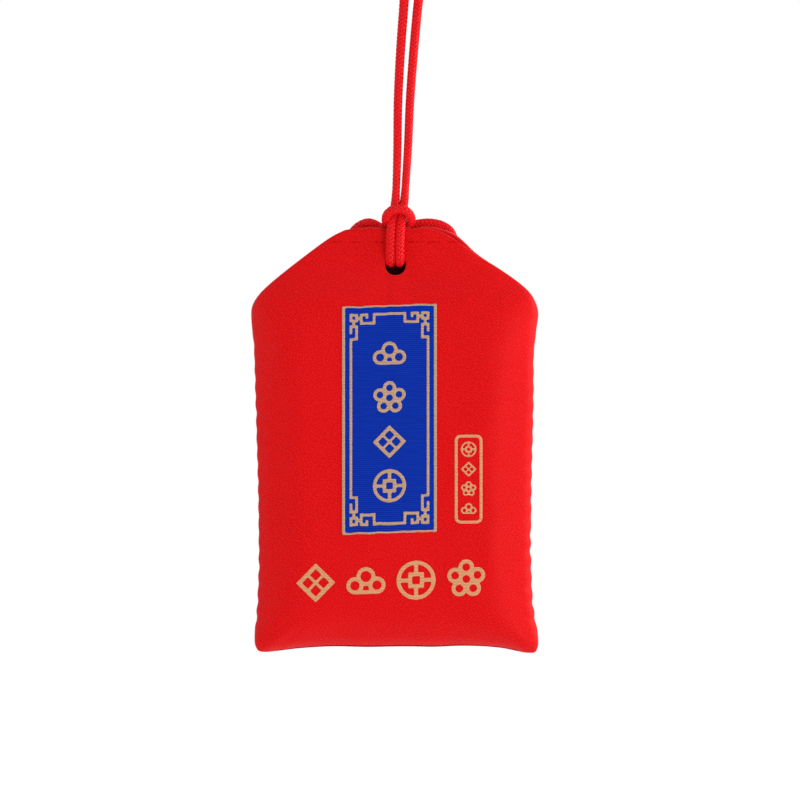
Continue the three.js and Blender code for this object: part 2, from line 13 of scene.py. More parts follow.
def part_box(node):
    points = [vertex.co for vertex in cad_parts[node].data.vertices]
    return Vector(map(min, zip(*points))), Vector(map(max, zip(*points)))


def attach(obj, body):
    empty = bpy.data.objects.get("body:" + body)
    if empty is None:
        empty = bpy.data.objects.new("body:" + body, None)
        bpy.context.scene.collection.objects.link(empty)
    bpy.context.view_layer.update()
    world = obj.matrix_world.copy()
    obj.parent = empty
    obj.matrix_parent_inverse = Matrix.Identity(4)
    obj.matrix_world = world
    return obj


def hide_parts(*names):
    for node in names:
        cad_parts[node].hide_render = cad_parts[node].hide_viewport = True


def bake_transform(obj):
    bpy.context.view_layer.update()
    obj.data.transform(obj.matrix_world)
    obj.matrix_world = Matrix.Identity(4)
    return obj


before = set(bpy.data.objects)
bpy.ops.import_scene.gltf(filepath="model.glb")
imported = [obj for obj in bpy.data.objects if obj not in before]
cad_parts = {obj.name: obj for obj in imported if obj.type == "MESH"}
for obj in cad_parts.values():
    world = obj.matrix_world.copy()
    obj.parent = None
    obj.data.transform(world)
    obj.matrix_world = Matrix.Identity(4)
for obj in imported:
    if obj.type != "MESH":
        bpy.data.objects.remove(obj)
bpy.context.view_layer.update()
noise.seed_set(1)  # the same unevenness in each run

MM = 0.001
front_low, front_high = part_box("front_panel")
POUCH_ORIGIN = np.array([(front_low.x + front_high.x) / 2, 0, front_low.z])

# Camera and light
VIEW_CENTRE = (0.95, 0, 52.84)
VIEW_WIDTH = 168.4  # width of the picture at the pouch's mid-plane
LENS = 150
SENSOR = 36
AMBIENT = 0.6
# Soft boxes: watts, size and place from the middle of the view, in metres
SOFT_BOXES = {
    "key": (1.8, 0.36, (0.42, -0.62, -0.14)),
    "fill": (0.95, 0.36, (-0.68, -0.4, 0.11)),
    "side": (3.4, 0.45, (0.68, -0.03, 0.1)),
}
FLOOR_DROP = 350  # floor below the foot of the pouch
FLOOR_REACH = 3000
FLOOR_GLOW = 1.22  # brightness that the floor shows to the camera alone
FLOOR_GLOW_SHARE = 0.7  # the rest is its paint, which takes the shadow

# Outline of the cloth, seen from the front: x and z, from the foot up and from left to right
LEFT_EDGE = [
    (-28.85, -0.1), (-29.6, 1.2), (-29.68, 4), (-29.2, 10.7), (-28.95, 17), (-28.9, 24), (-29.1, 36),
    (-29.65, 55), (-29.9, 64), (-30.35, 69), (-30.3, 72.3), (-29.0, 74.7), (-26.6, 77.15), (-18.75, 83.4),
    (-13.6, 87.1), (-10.6, 88.6),
]
RIGHT_SIDE = [
    (29.45, -0.4), (30.05, 0.9), (30.05, 3.4), (29.05, 10.7), (28.65, 22), (28.8, 36), (29.2, 54),
    (29.25, 63), (29.85, 68.5), (30.1, 71.5), (28.85, 74.7), (26.85, 76.85), (21.8, 80.5),
]
FRONT_RIGHT_EDGE = RIGHT_SIDE + [(17.9, 82.9), (13.8, 85.7), (11.0, 87.5), (7.9, 88.85)]
BACK_RIGHT_EDGE = RIGHT_SIDE + [(16.9, 83.95), (14.5, 86.3), (12.4, 88.0), (9.6, 89.0)]
FOOT_EDGE = [
    (-28.85, -0.1), (-27.2, -0.25), (-24.3, 0.05), (-20.9, 0.47), (-15.9, 0.84), (-12.5, 0.94), (-6, 0.8),
    (0, 0.9), (4, 0.9), (8, 0.83), (13, 1.04), (16.6, 1.02), (19.5, 0.88), (22.8, 0.53), (26.2, -0.2),
    (27.2, -0.4), (29.45, -0.4),
]
# The band of the hitch presses a dip into the mouth at either side
FRONT_MOUTH = [
    (-10.6, 88.6), (-8, 89.0), (-5.2, 89.15), (-3.7, 89.1), (-2.3, 88.85), (-0.9, 89.1), (0.6, 89.15),
    (2.1, 89.1), (3.4, 88.85), (4.8, 89.1), (6.2, 89.1), (7.9, 88.85),
]
BACK_MOUTH = [
    (-10.6, 88.6), (-8, 89.1), (-5.2, 89.3), (-3.7, 89.2), (-2.3, 88.9), (-0.9, 89.1), (0.6, 89.15),
    (2.1, 89.1), (3.2, 88.95), (4.8, 89.25), (6.6, 89.45), (8.2, 89.35), (9.6, 89.0),
]

# Thickness and sewing of the cloth
POUCH_HALF = 3.6
FRONT_TOP_HALF = 2.25  # beside the cord's legs
BACK_TOP_HALF = 1.85
PAD_TOP = 73.5  # the padding thins out from here up to the flat top
FLAT_TOP = 79
SEAM_HALF = 0.55
LAP = 0.1  # how far the panels press into each other along the seams and the folded foot
FOLD_HALF = 1.4  # at the shoulder folds
MOUTH_HALF = 1.7
FOLD_HEIGHTS = (70, 76)  # the edge opens here from the seam to the shoulder fold
MOUTH_HEIGHTS = (86, 89)  # and here from the fold to the mouth
TURNED_HALF = 0.76  # mid-plane to the cloth that has turned in along a shoulder fold
TURNED_GAPE = 0.2  # what the mouth adds to that
FOOT_FOLD = 2.5  # height over which the panels close up at the folded foot
FOOT_CORNER = (0.5, 4)  # distances from a side over which that sets in
SIDE_ROLL = 11
FOOT_ROLL = 10
FULLNESS = 2.15  # of the arch in which the cloth rolls off its filling
CLOTH = 0.35
LIP = 0.5  # radius with which the cloth turns in at an edge
LIP_ANGLES = [math.radians(angle) for angle in (30, 60, 90)]
LIP_RUN = 0.6  # how far it runs on between the panels
TUCK_FOOT = 69  # the corner's fold starts here, below the shoulder
TUCK_THICKNESS = 0.2
TUCK_SUNK = 0.04  # face of the folded corner, below the lip that it runs out of
TUCK_START = 0.1  # inside the lip
TUCK_DEPTH = 0.3  # at the fold's foot
TUCK_SPREAD = 0.95  # what it gains for each millimetre along the shoulder
TUCK_INNER_HALF = 0.12  # where its two layers meet
TUCK_STATIONS = 44
TUCK_ROWS = 12
MOUTH_ROLL = 3
FRONT_GAPE = 0.35  # the mouth stands open at its right end
BACK_GAPE = 0.7
GAPE_X = 14
GAPE_REACH = 2.5
RIPPLE = 0.2
RIPPLE_LENGTH = 15
SEAM_DRAW = 0.3  # how far the seam thread draws the edge in
SEAM_DRAW_REACH = 1.5
SEAM_DENT = 0.16  # and presses into the cloth beside it
SEAM_DENT_INSET = 1.2
SEAM_DENT_WIDTH = 1.3
SEAM_LENGTH = 70
SEAM_PULL = 1.3  # share of that draw and dent at the foot
SEAM_PULL_LOSS = 0.9  # what the share loses up to the top
SEAM_UNEVEN = 0.9  # from stitch to stitch
SEAM_SETS_IN = (4, 8)  # lengths along the edge, from the foot
SEAM_DIES_AWAY = (66, 71)
HEM_DENT = 0.12
HEM_DENT_WIDTH = 0.5
HEM_SHALLOW = 0.4  # share of the dent along a stitch; all of it where the thread dives
HEM_DIVE = 0.45
LEG_DENT = 0.4  # the cord's legs press a hollow into the front
LEG_DENT_WIDTH = 2.3 * math.sqrt(2)  # 2.3 from its middle, 0.6 of its depth is left
LEG_DENT_HEIGHTS = (77, 82)
CREASE = 0.14  # beside the right shoulder's fold
CREASE_INSET = 3.4
CREASE_WIDTH = 0.8
CREASE_HEIGHTS = (75, 79)
HEM_DEPTH = 4.2
HEM_START = 0.2  # below the lip
HEM_LEAN = 0.1
HEM_ROWS = 8
HEM_PITCH = 3.77
HEM_STITCH = 3.0
HEM_STITCH_HEIGHT = 86
HEM_REACH = 12  # stitches run this far to both sides
STITCH_PITCH = 3.6
SEAM_STITCH = 1.1
SEAM_STITCH_INSET = 0.4
SEAM_STITCHES = (2, 19)  # first and last, counted along the edge
THREAD = 0.3
THREAD_SUNK = THREAD / 6
PAD_ROUND = 2.5  # the wadding thins out over this width at its edges
PAD_LUMP = 4
PAD_UNEVEN = 0.1
# Middle and half-axes of the cord's holes: the cord pulls the back one up, so cloth shows dark below it
FRONT_HOLE = (0.0, 81.15, 2.15, 2.15)
BACK_HOLE = (-0.05, 83.6, 2.15, 1.75)
ROWS = 128
COLUMNS = 72

# Simulated cloth: the padded part of a panel is pushed out by its filling and held all round
SETTLE_UNIT = 50  # millimetres to a unit of the simulation
SETTLE_FRAMES = 20
SETTLE_PRESSURE = 4.0
SETTLE_SLACK = 0.003
SETTLE_CAP = 0.6  # millimetres that a point may move
SETTLE_EDGE = 0.6  # held this far in from the edges
SETTLE_TOP = 80  # and from this height up

# Woven ornament
FIELD_WIDTH = 19.8
FIELD_HEIGHT = 48
FIELD_CENTRE = (-1.26, 48.7)
FIELD_SLANT = math.tan(math.radians(1.8))  # the weft rises to the right
# The weft is beaten unevenly near the field's foot: heights above it, and how far its lines rise there
FOOT_HEIGHTS = (0, 2, 6.7, 14)
FOOT_RISES = (0.25, 0.46, 1.05, 0)
WEFT_WAVE = 0.16  # how far its lines stray from straight
WEFT_WAVE_LENGTH = 2.2
WEFT_WAVE_HEIGHT = 9
FIELD_EDGE = 0.12  # the strip that sinks into the satin
FIELD_STEP = 0.6
FIELD_LIFT = 0.08  # height of the blue ground above the satin
GOLD_LIFT = 0.1  # and of the gold weft above what it lies on
SUNK = 0.04  # how far ornament starts below the cloth's face
MARK_VOXEL = 0.12
MARK_ROUNDING = 0.45  # half-thickness at which a mark's edges are rounded before it is laid flat
MARK_SMOOTHING = 3
MARK_UNEVEN = 0.04
MARK_UNEVEN_CELLS = 2.5  # to a millimetre

# Braided cord
BRAID_DIAMETER = 2.12  # over the crowns of its yarns
# Heights, and the share of its girth that the cord keeps there: the hanging strands are drawn thinner
GIRTH_HEIGHTS = (92, 97, 106, 124, 140)
GIRTH_SHARES = (1.0, 0.8, 0.86, 0.94, 0.98)
YARNS = 8  # in each direction
BRAID_LEAD = 6.8  # length of a yarn's turn round the cord
YARN_WIDTH = 0.66
YARN_THICKNESS = 0.34
YARN_LIFT = 0.11  # of a yarn that passes over, and drop of one that passes under
CORE_RADIUS = 0.72
CORD_STEP = 0.16

# The cord from the end knot down the left strand, through the hitch and up the right strand
LEFT_STRAND = [
    (4.05, 0, 168.6), (3.5, 0, 166.9), (2.2, -0.05, 164.4), (1.3, -0.15, 160.5), (1.35, -0.25, 155),
    (1.95, -0.4, 149), (2.1, -0.5, 143), (1.88, -0.59, 137.65), (1.08, -0.8, 126.5), (0.55, -1.0, 116),
    (0.39, -1.2, 105.5), (0.2, -1.36, 98.5),
]
LEFT_LEG = [
    (0.1, -1.44, 96.5), (0.02, -1.52, 95), (-0.22, -1.8, 93), (-0.45, -2.25, 91.3), (-0.8, -2.7, 89.6),
    (-0.98, -2.95, 87), (-1.04, -3, 85.2), (-1.04, -2.85, 83.6), (-1.04, -2.2, 82.3), (-1.04, -1, 81.75),
    (-1.04, 0.2, 82.1), (-1.04, 1.35, 82.75),
]
LEFT_EAR = [
    (-1.35, 2.4, 82.8), (-2.3, 3.05, 82.6), (-4, 3.3, 82.3), (-6.6, 3.2, 82.4), (-8.8, 3.1, 83.4),
    (-9.9, 3.05, 85.2), (-9.7, 3.05, 87), (-8.7, 3.05, 88.6), (-7.4, 3.05, 89.7), (-5.8, 3, 90.25),
    (-4.5, 3, 89.95), (-3.3, 3, 89.35), (-2.4, 2.6, 89.25),
]
HITCH_BAND = [
    (-1.95, 1.5, 89.7), (-1.85, 0.2, 90.05), (-1.9, -1.2, 90.3), (-1.95, -2.4, 90.75), (-1.75, -3.4, 91.6),
    (-0.75, -4.25, 92.5), (0.65, -4.45, 92.8), (2, -4.25, 92.5), (2.95, -3.5, 91.7), (3.3, -2.4, 90.8),
    (3.05, -1.2, 90.4), (2.45, 0.2, 90.3), (2.25, 1.5, 90.15),
]
RIGHT_EAR = [
    (2.7, 2.6, 89.95), (4, 3, 89.9), (5.4, 3, 90.1), (7.2, 3, 90.2), (9.6, 3.05, 89.75),
    (11.35, 3.05, 88.6), (12.1, 3.05, 87.1), (12, 3.05, 85.2), (10.8, 3.1, 83.4), (7.8, 3.2, 82.4),
    (4.4, 3.3, 82.3), (2.3, 3.05, 82.6), (1.15, 2.4, 82.8), (0.87, 1.35, 82.75),
]
RIGHT_LEG = [
    (0.87, 0.2, 82.1), (0.87, -1, 81.75), (0.87, -2.2, 82.3), (0.87, -2.85, 83.6), (0.87, -3, 85.2),
    (0.95, -2.95, 87), (1.12, -2.7, 89.6), (1.3, -2.25, 91.3), (1.6, -1.8, 93), (1.88, -1.52, 95),
    (2, -1.44, 96.5), (2.15, -1.36, 98.5),
]
RIGHT_STRAND = [
    (2.6, -1.2, 105.5), (3.07, -1.0, 116), (3.85, -0.8, 126.5), (4.92, -0.59, 137.65), (5.65, -0.5, 143),
    (6.9, -0.4, 149), (8.3, -0.25, 155), (8.8, -0.15, 160.5), (8.0, -0.05, 164.4), (6.7, 0, 166.9),
    (6.15, 0, 168.6),
]
LEFT_TAIL = [(3.2, 0, 173.6), (1.9, 0, 174.5), (1.1, 0.15, 175), (0.4, 0.4, 176.6), (0.1, 0.6, 178.6)]
RIGHT_TAIL = [(7.0, 0, 173.6), (8.3, 0, 174.5), (9.1, 0.15, 175), (9.8, 0.4, 176.6), (10.4, 0.7, 178.4)]
KNOT_CENTRE = (5.1, 0, 172.4)
KNOT_RADIUS = 2.4
KNOT_SWING = 1.1
PINCH = 0.06  # share by which the band squeezes the legs
PINCH_HEIGHT = 91.3
PINCH_REACH = 1.8


# Points, curves and meshes

def to_row(points):
    """Pouch millimetres as metres in the row frame."""
    return np.asarray(points, float) * MM + POUCH_ORIGIN


def smoothstep(low, high, value):
    share = np.clip((value - low) / (high - low), 0, 1)
    return share * share * (3 - 2 * share)


def bell(distance, width):
    """1 at no distance, falling off smoothly to both sides over about the width."""
    return np.exp(-((distance / width) ** 2))


def rounded(share, fullness=2):
    """Height of a quarter circle, or of a fuller and softer arch, at a share of its width."""
    return (1 - (1 - np.clip(share, 0, 1)) ** fullness) ** (1 / fullness)


def length_along(points):
    return np.concatenate([[0], np.cumsum(np.linalg.norm(np.diff(points, axis=0), axis=1))])


def curve_through(points, parts=24):
    """A smooth line through points, with that many parts between each two."""
    points = np.asarray(points, float)
    knots = np.concatenate([[0], np.cumsum(np.sqrt(np.linalg.norm(np.diff(points, axis=0), axis=1)))])
    slopes = np.gradient(points, knots, axis=0)
    t = np.linspace(0, 1, parts, endpoint=False)[:, None]
    line = []
    for i, step in enumerate(np.diff(knots)):
        line.append(
            (2 * t**3 - 3 * t**2 + 1) * points[i] + (t**3 - 2 * t**2 + t) * step * slopes[i]
            + (3 * t**2 - 2 * t**3) * points[i + 1] + (t**3 - t**2) * step * slopes[i + 1]
        )
    return np.vstack([*line, points[-1:]])


def evenly(line, count):
    """The line again, as that many points at even distances."""
    along = length_along(line)
    at = np.linspace(0, along[-1], count)
    return np.stack([np.interp(at, along, line[:, k]) for k in range(line.shape[1])], axis=1)


def distance_to(points, line):
    """How far each point is from a line of points."""
    start, run = line[:-1], np.diff(line, axis=0)
    from_start = points[..., None, :] - start
    share = np.clip((from_start * run).sum(-1) / np.maximum((run * run).sum(-1), 1e-9), 0, 1)
    return np.linalg.norm(from_start - share[..., None] * run, axis=-1).min(-1)


def grid_faces(rows, columns, first=0):
    """Quads of a grid whose points run along its rows."""
    at = first + np.arange(rows - 1)[:, None] * columns + np.arange(columns - 1)
    return np.stack([at, at + 1, at + columns + 1, at + columns], axis=-1).reshape(-1, 4)


def make_piece(name, points, faces, material, uv=None):
    """A smooth mesh from pouch millimetres. uv holds a place on the cloth or yarn for each point."""
    mesh = bpy.data.meshes.new(name)
    mesh.from_pydata(to_row(points).tolist(), [], [list(face) for face in faces])
    if uv is not None:
        corner = np.empty(len(mesh.loops), np.int32)
        mesh.loops.foreach_get("vertex_index", corner)
        layer = mesh.uv_layers.new(name="weave")
        layer.data.foreach_set("uv", np.asarray(uv, np.float32)[corner].ravel())
    mesh.shade_smooth()
    mesh.materials.append(material)
    piece = bpy.data.objects.new(name, mesh)
    bpy.context.scene.collection.objects.link(piece)
    return piece


def close_up(mesh, distance):
    """Merges points that are no further apart than the distance, and turns all faces outwards."""
    merged = bmesh.new()
    merged.from_mesh(mesh)
    bmesh.ops.remove_doubles(merged, verts=merged.verts, dist=distance)
    bmesh.ops.recalc_face_normals(merged, faces=merged.faces)
    merged.to_mesh(mesh)
    merged.free()


def add_modifier(piece, kind, **settings):
    modifier = piece.modifiers.new(kind.title(), kind)
    for name, value in settings.items():
        setattr(modifier, name, value)
    return modifier


# Materials

def linear(code):
    """An sRGB hex colour as linear RGBA."""
    shares = [int(code[i:i + 2], 16) / 255 for i in (0, 2, 4)]
    return (*[c / 12.92 if c <= 0.04045 else ((c + 0.055) / 1.055) ** 2.4 for c in shares], 1)


def add_node(tree, kind, inputs=None, **settings):
    """Adds a node with its settings. An input takes a value, or the output that feeds it."""
    made = tree.nodes.new(kind)
    for name, value in settings.items():
        setattr(made, name, value)
    for key, value in (inputs or {}).items():
        if isinstance(value, bpy.types.NodeSocket):
            tree.links.new(value, made.inputs[key])
        else:
            made.inputs[key].default_value = value
    return made


def new_material(name):
    """An empty material and its node tree."""
    material = bpy.data.materials.new(name)
    material.use_nodes = True
    material.node_tree.nodes.clear()
    return material, material.node_tree


def finish_material(tree, colour, height, strength, depth, finish):
    """Ends a material: its colour and finish, and a pattern that stands out by so many millimetres."""
    relief = add_node(
        tree, "ShaderNodeBump", {"Strength": strength, "Distance": depth * MM, "Height": height},
    )
    surface = add_node(
        tree, "ShaderNodeBsdfPrincipled", {"Base Color": colour, "Normal": relief.outputs[0], **finish},
    )
    add_node(tree, "ShaderNodeOutputMaterial", {"Surface": surface.outputs[0]})


def finish_two_tone(tree, pattern, dark, light, strength, depth, finish):
    """Ends a material whose pattern runs from a dark to a light tone, and stands out where it is light."""
    tone = add_node(
        tree, "ShaderNodeMix", {0: pattern, 6: linear(dark), 7: linear(light)}, data_type="RGBA",
    )
    finish_material(tree, tone.outputs[2], pattern, strength, depth, finish)


def red_satin():
    """Polyester satin: long floats of thread over a twill ground, which give a fine slanting grain
    and a pale sheen where the cloth turns away; its few glints are painted highlights, pale pink specks."""
    material, tree = new_material("red_satin")
    cloth = add_node(tree, "ShaderNodeUVMap", uv_map="weave").outputs[0]
    # Twill lines 0.57 mm apart, rising to the right: twice the real spacing, so that they show
    slant = math.radians(53)
    lines = add_node(tree, "ShaderNodeMapping", {"Vector": cloth, "Rotation": (0, 0, slant)})
    twill = add_node(
        tree, "ShaderNodeTexWave",
        {"Vector": lines.outputs[0], "Scale": 0.55, "Distortion": 4.0, "Detail": 2.0, "Detail Scale": 2.5},
        wave_type="BANDS", bands_direction="X",
    )
    # Single floats 0.18 mm wide and 0.29 mm long; the palest are painted pink as glints, a painted highlight
    along = add_node(
        tree, "ShaderNodeMapping", {"Vector": cloth, "Rotation": (0, 0, -slant), "Scale": (0.18, 0.29, 1.0)},
        vector_type="TEXTURE",
    )
    floats = add_node(
        tree, "ShaderNodeTexNoise",
        {"Vector": along.outputs[0], "Scale": 1.0, "Detail": 1.0, "Roughness": 0.6},
    )
    shade = add_node(tree, "ShaderNodeTexNoise", {"Vector": cloth, "Scale": 0.05, "Detail": 3.0})
    grain = add_node(
        tree, "ShaderNodeMix",
        {0: 0.78, 2: twill.outputs["Fac"], 3: floats.outputs["Fac"]}, data_type="FLOAT",
    )
    tint = add_node(
        tree, "ShaderNodeMapRange",
        {"Value": grain.outputs[0], "From Min": 0.34, "From Max": 0.68, "To Min": 0.0, "To Max": 1.0},
    )
    base = add_node(
        tree, "ShaderNodeMix",
        {0: tint.outputs[0], 6: linear("b60000"), 7: linear("f40000")}, data_type="RGBA",
    )
    worn = add_node(
        tree, "ShaderNodeMix",
        {0: shade.outputs["Fac"], 6: base.outputs[2], 7: linear("da0306")}, data_type="RGBA",
    )
    # Painted highlight: the palest floats are mixed toward pale pink as glints
    painted_glint_share = add_node(
        tree, "ShaderNodeMapRange",
        {"Value": floats.outputs["Fac"], "From Min": 0.53, "From Max": 0.75, "To Min": 0.0, "To Max": 0.28},
    )
    painted_glints = add_node(
        tree, "ShaderNodeMix",
        {0: painted_glint_share.outputs[0], 6: worn.outputs[2], 7: linear("ff4a52")}, data_type="RGBA",
    )
    finish_material(
        tree, painted_glints.outputs[2], grain.outputs[0], 0.35, 0.06,
        {
            "Roughness": 0.4, "Specular IOR Level": 0.04,
            "Sheen Weight": 0.5, "Sheen Roughness": 0.5, "Sheen Tint": linear("ff9aa0"),
        },
    )
    return material


def satin_reverse_painted_shade():
    """The satin's inner face: the warp's dull side with loose weft ends, its colour darkened well below the
    shiny face as painted shade for the pouch's inside.
    """
    material, tree = new_material("red_satin_reverse")
    cloth = add_node(tree, "ShaderNodeUVMap", uv_map="weave").outputs[0]
    # Weft floats about 0.5 mm apart
    floats = add_node(tree, "ShaderNodeTexNoise", {"Vector": cloth, "Scale": 2.0, "Detail": 2.0})
    finish_two_tone(
        tree, floats.outputs["Fac"], "4a0204", "6e0407", 0.3, 0.06,
        {"Roughness": 0.8, "Specular IOR Level": 0.05},
    )
    return material


def red_braid():
    """Polyester filament yarn: bundles of fine parallel fibres, a little shiny along each float, with a
    painted highlight along each yarn's top.
    """
    material, tree = new_material("red_braid")
    yarn = add_node(tree, "ShaderNodeUVMap", uv_map="weave").outputs[0]
    # Fibres run along the yarn: six to its visible width
    fibres = add_node(tree, "ShaderNodeMapping", {"Vector": yarn, "Scale": (0.6, 12.0, 1.0)})
    streaks = add_node(tree, "ShaderNodeTexNoise", {"Vector": fibres.outputs[0], "Scale": 1.0, "Detail": 2.0})
    dyed = add_node(
        tree, "ShaderNodeMix",
        {0: streaks.outputs["Fac"], 6: linear("d20308"), 7: linear("f00a11")}, data_type="RGBA",
    )
    # The outer face of a yarn, a quarter of the way round it, is painted paler and pinker: a painted
    # highlight
    around = add_node(tree, "ShaderNodeSeparateXYZ", {"Vector": yarn})
    from_crown = add_node(tree, "ShaderNodeMath", {0: around.outputs["Y"], 1: 0.25}, operation="SUBTRACT")
    distance = add_node(tree, "ShaderNodeMath", {0: from_crown.outputs[0]}, operation="ABSOLUTE")
    painted_crown_highlight = add_node(
        tree, "ShaderNodeMapRange",
        {"Value": distance.outputs[0], "From Min": 0.02, "From Max": 0.12, "To Min": 0.22, "To Max": 0.0},
    )
    base = add_node(
        tree, "ShaderNodeMix",
        {0: painted_crown_highlight.outputs[0], 6: dyed.outputs[2], 7: linear("ff3a46")}, data_type="RGBA",
    )
    finish_material(
        tree, base.outputs[2], streaks.outputs["Fac"], 0.2, 0.04,
        {
            "Roughness": 0.28, "Specular IOR Level": 0.12,
            "Sheen Weight": 0.06, "Sheen Roughness": 0.4, "Sheen Tint": linear("ff8a90"),
        },
    )
    return material


def weft(name, dark, light, pitch, roughness, metallic, streak):
    """Brocading weft: threads that float side by side across the field, each a little lighter or darker."""
    material, tree = new_material(name)
    place = add_node(tree, "ShaderNodeTexCoord").outputs["Object"]
    # The threads rise to the right with the weft, one every pitch
    lying = add_node(
        tree, "ShaderNodeMapping",
        {
            "Vector": place, "Rotation": (0, math.atan(FIELD_SLANT), 0),
            "Scale": (streak / MM, 1, 1 / (pitch * MM)),
        },
    )
    uneven = add_node(tree, "ShaderNodeTexNoise", {"Vector": lying.outputs[0], "Scale": 1.0, "Detail": 3.0})
    ridge = add_node(
        tree, "ShaderNodeTexWave",
        {"Vector": lying.outputs[0], "Scale": math.pi / 10, "Distortion": 0.6, "Detail": 1.0},
        wave_type="BANDS", bands_direction="Z",
    )
    threads = add_node(
        tree, "ShaderNodeMath", {0: ridge.outputs["Fac"], 1: uneven.outputs["Fac"]}, operation="MULTIPLY",
    )
    tint = add_node(
        tree, "ShaderNodeMapRange",
        {"Value": threads.outputs[0], "From Min": 0.05, "From Max": 0.6, "To Min": 0.0, "To Max": 1.0},
    )
    base = add_node(
        tree, "ShaderNodeMix", {0: tint.outputs[0], 6: linear(dark), 7: linear(light)}, data_type="RGBA",
    )
    finish_material(
        tree, base.outputs[2], threads.outputs[0], 0.5, 0.06,
        {"Roughness": roughness, "Metallic": metallic, "Specular IOR Level": 0.08},
    )
    return material


def sewing_thread():
    """Spun polyester sewing thread, dyed as the cloth, with its twist as slanting ridges."""
    material, tree = new_material("red_thread")
    place = add_node(tree, "ShaderNodeTexCoord").outputs["Object"]
    # Ridges 1.2 mm apart along a stitch: coarser than real plies, so that they show
    ply = add_node(
        tree, "ShaderNodeTexWave", {"Vector": place, "Scale": 520.0, "Distortion": 0.5},
        wave_type="BANDS", bands_direction="DIAGONAL",
    )
    finish_two_tone(
        tree, ply.outputs["Fac"], "b80509", "d8090e", 0.3, 0.04,
        {"Roughness": 0.6, "Specular IOR Level": 0.06},
    )
    return material


def basswood():
    """Planed basswood: pale, nearly even, with faint grain lines along its height."""
    material, tree = new_material("basswood")
    place = add_node(tree, "ShaderNodeTexCoord").outputs["Object"]
    # Grain lines about 1.2 mm apart, drawn out along the height
    along = add_node(tree, "ShaderNodeMapping", {"Vector": place, "Scale": (800, 800, 30)})
    grain = add_node(tree, "ShaderNodeTexNoise", {"Vector": along.outputs[0], "Scale": 1.0, "Detail": 4.0})
    finish_two_tone(tree, grain.outputs["Fac"], "cfae78", "e6cfa2", 0.2, 0.1, {"Roughness": 0.65})
    return material


def fibrous(name, dark, light, fibre, roughness):
    """Paper or cotton wadding: matted fibres, matte, with a soft uneven surface."""
    material, tree = new_material(name)
    place = add_node(tree, "ShaderNodeTexCoord").outputs["Object"]
    # One noise cell for each fibre's length
    mat = add_node(
        tree, "ShaderNodeTexNoise",
        {"Vector": place, "Scale": 1 / (fibre * MM), "Detail": 5.0, "Roughness": 0.65, "Distortion": 1.5},
    )
    finish_two_tone(tree, mat.outputs["Fac"], dark, light, 0.4, 0.1, {"Roughness": roughness})
    return material


RED_SATIN = red_satin()
SATIN_REVERSE_PAINTED_SHADE = satin_reverse_painted_shade()
RED_BRAID = red_braid()
RED_THREAD = sewing_thread()
BLUE_WEFT = weft("blue_weft", "002292", "0037b0", 0.42, 0.6, 0.0, 0.25)
GOLD_WEFT = weft("gold_weft", "a88264", "d3b398", 0.3, 0.45, 0.15, 0.8)
# Red warp threads bind the gold outside the field, which makes it warmer there
GOLD_ON_RED = weft("gold_weft_on_red", "c18155", "edb387", 0.3, 0.45, 0.15, 0.8)
BASSWOOD = basswood()
WHITE_PAPER = fibrous("mulberry_paper", "e6dfcf", "f6f2e8", 1.5, 0.85)
WADDING = fibrous("cotton_wadding", "dddad2", "f3f1ec", 3.0, 0.95)


# Camera, light and floor

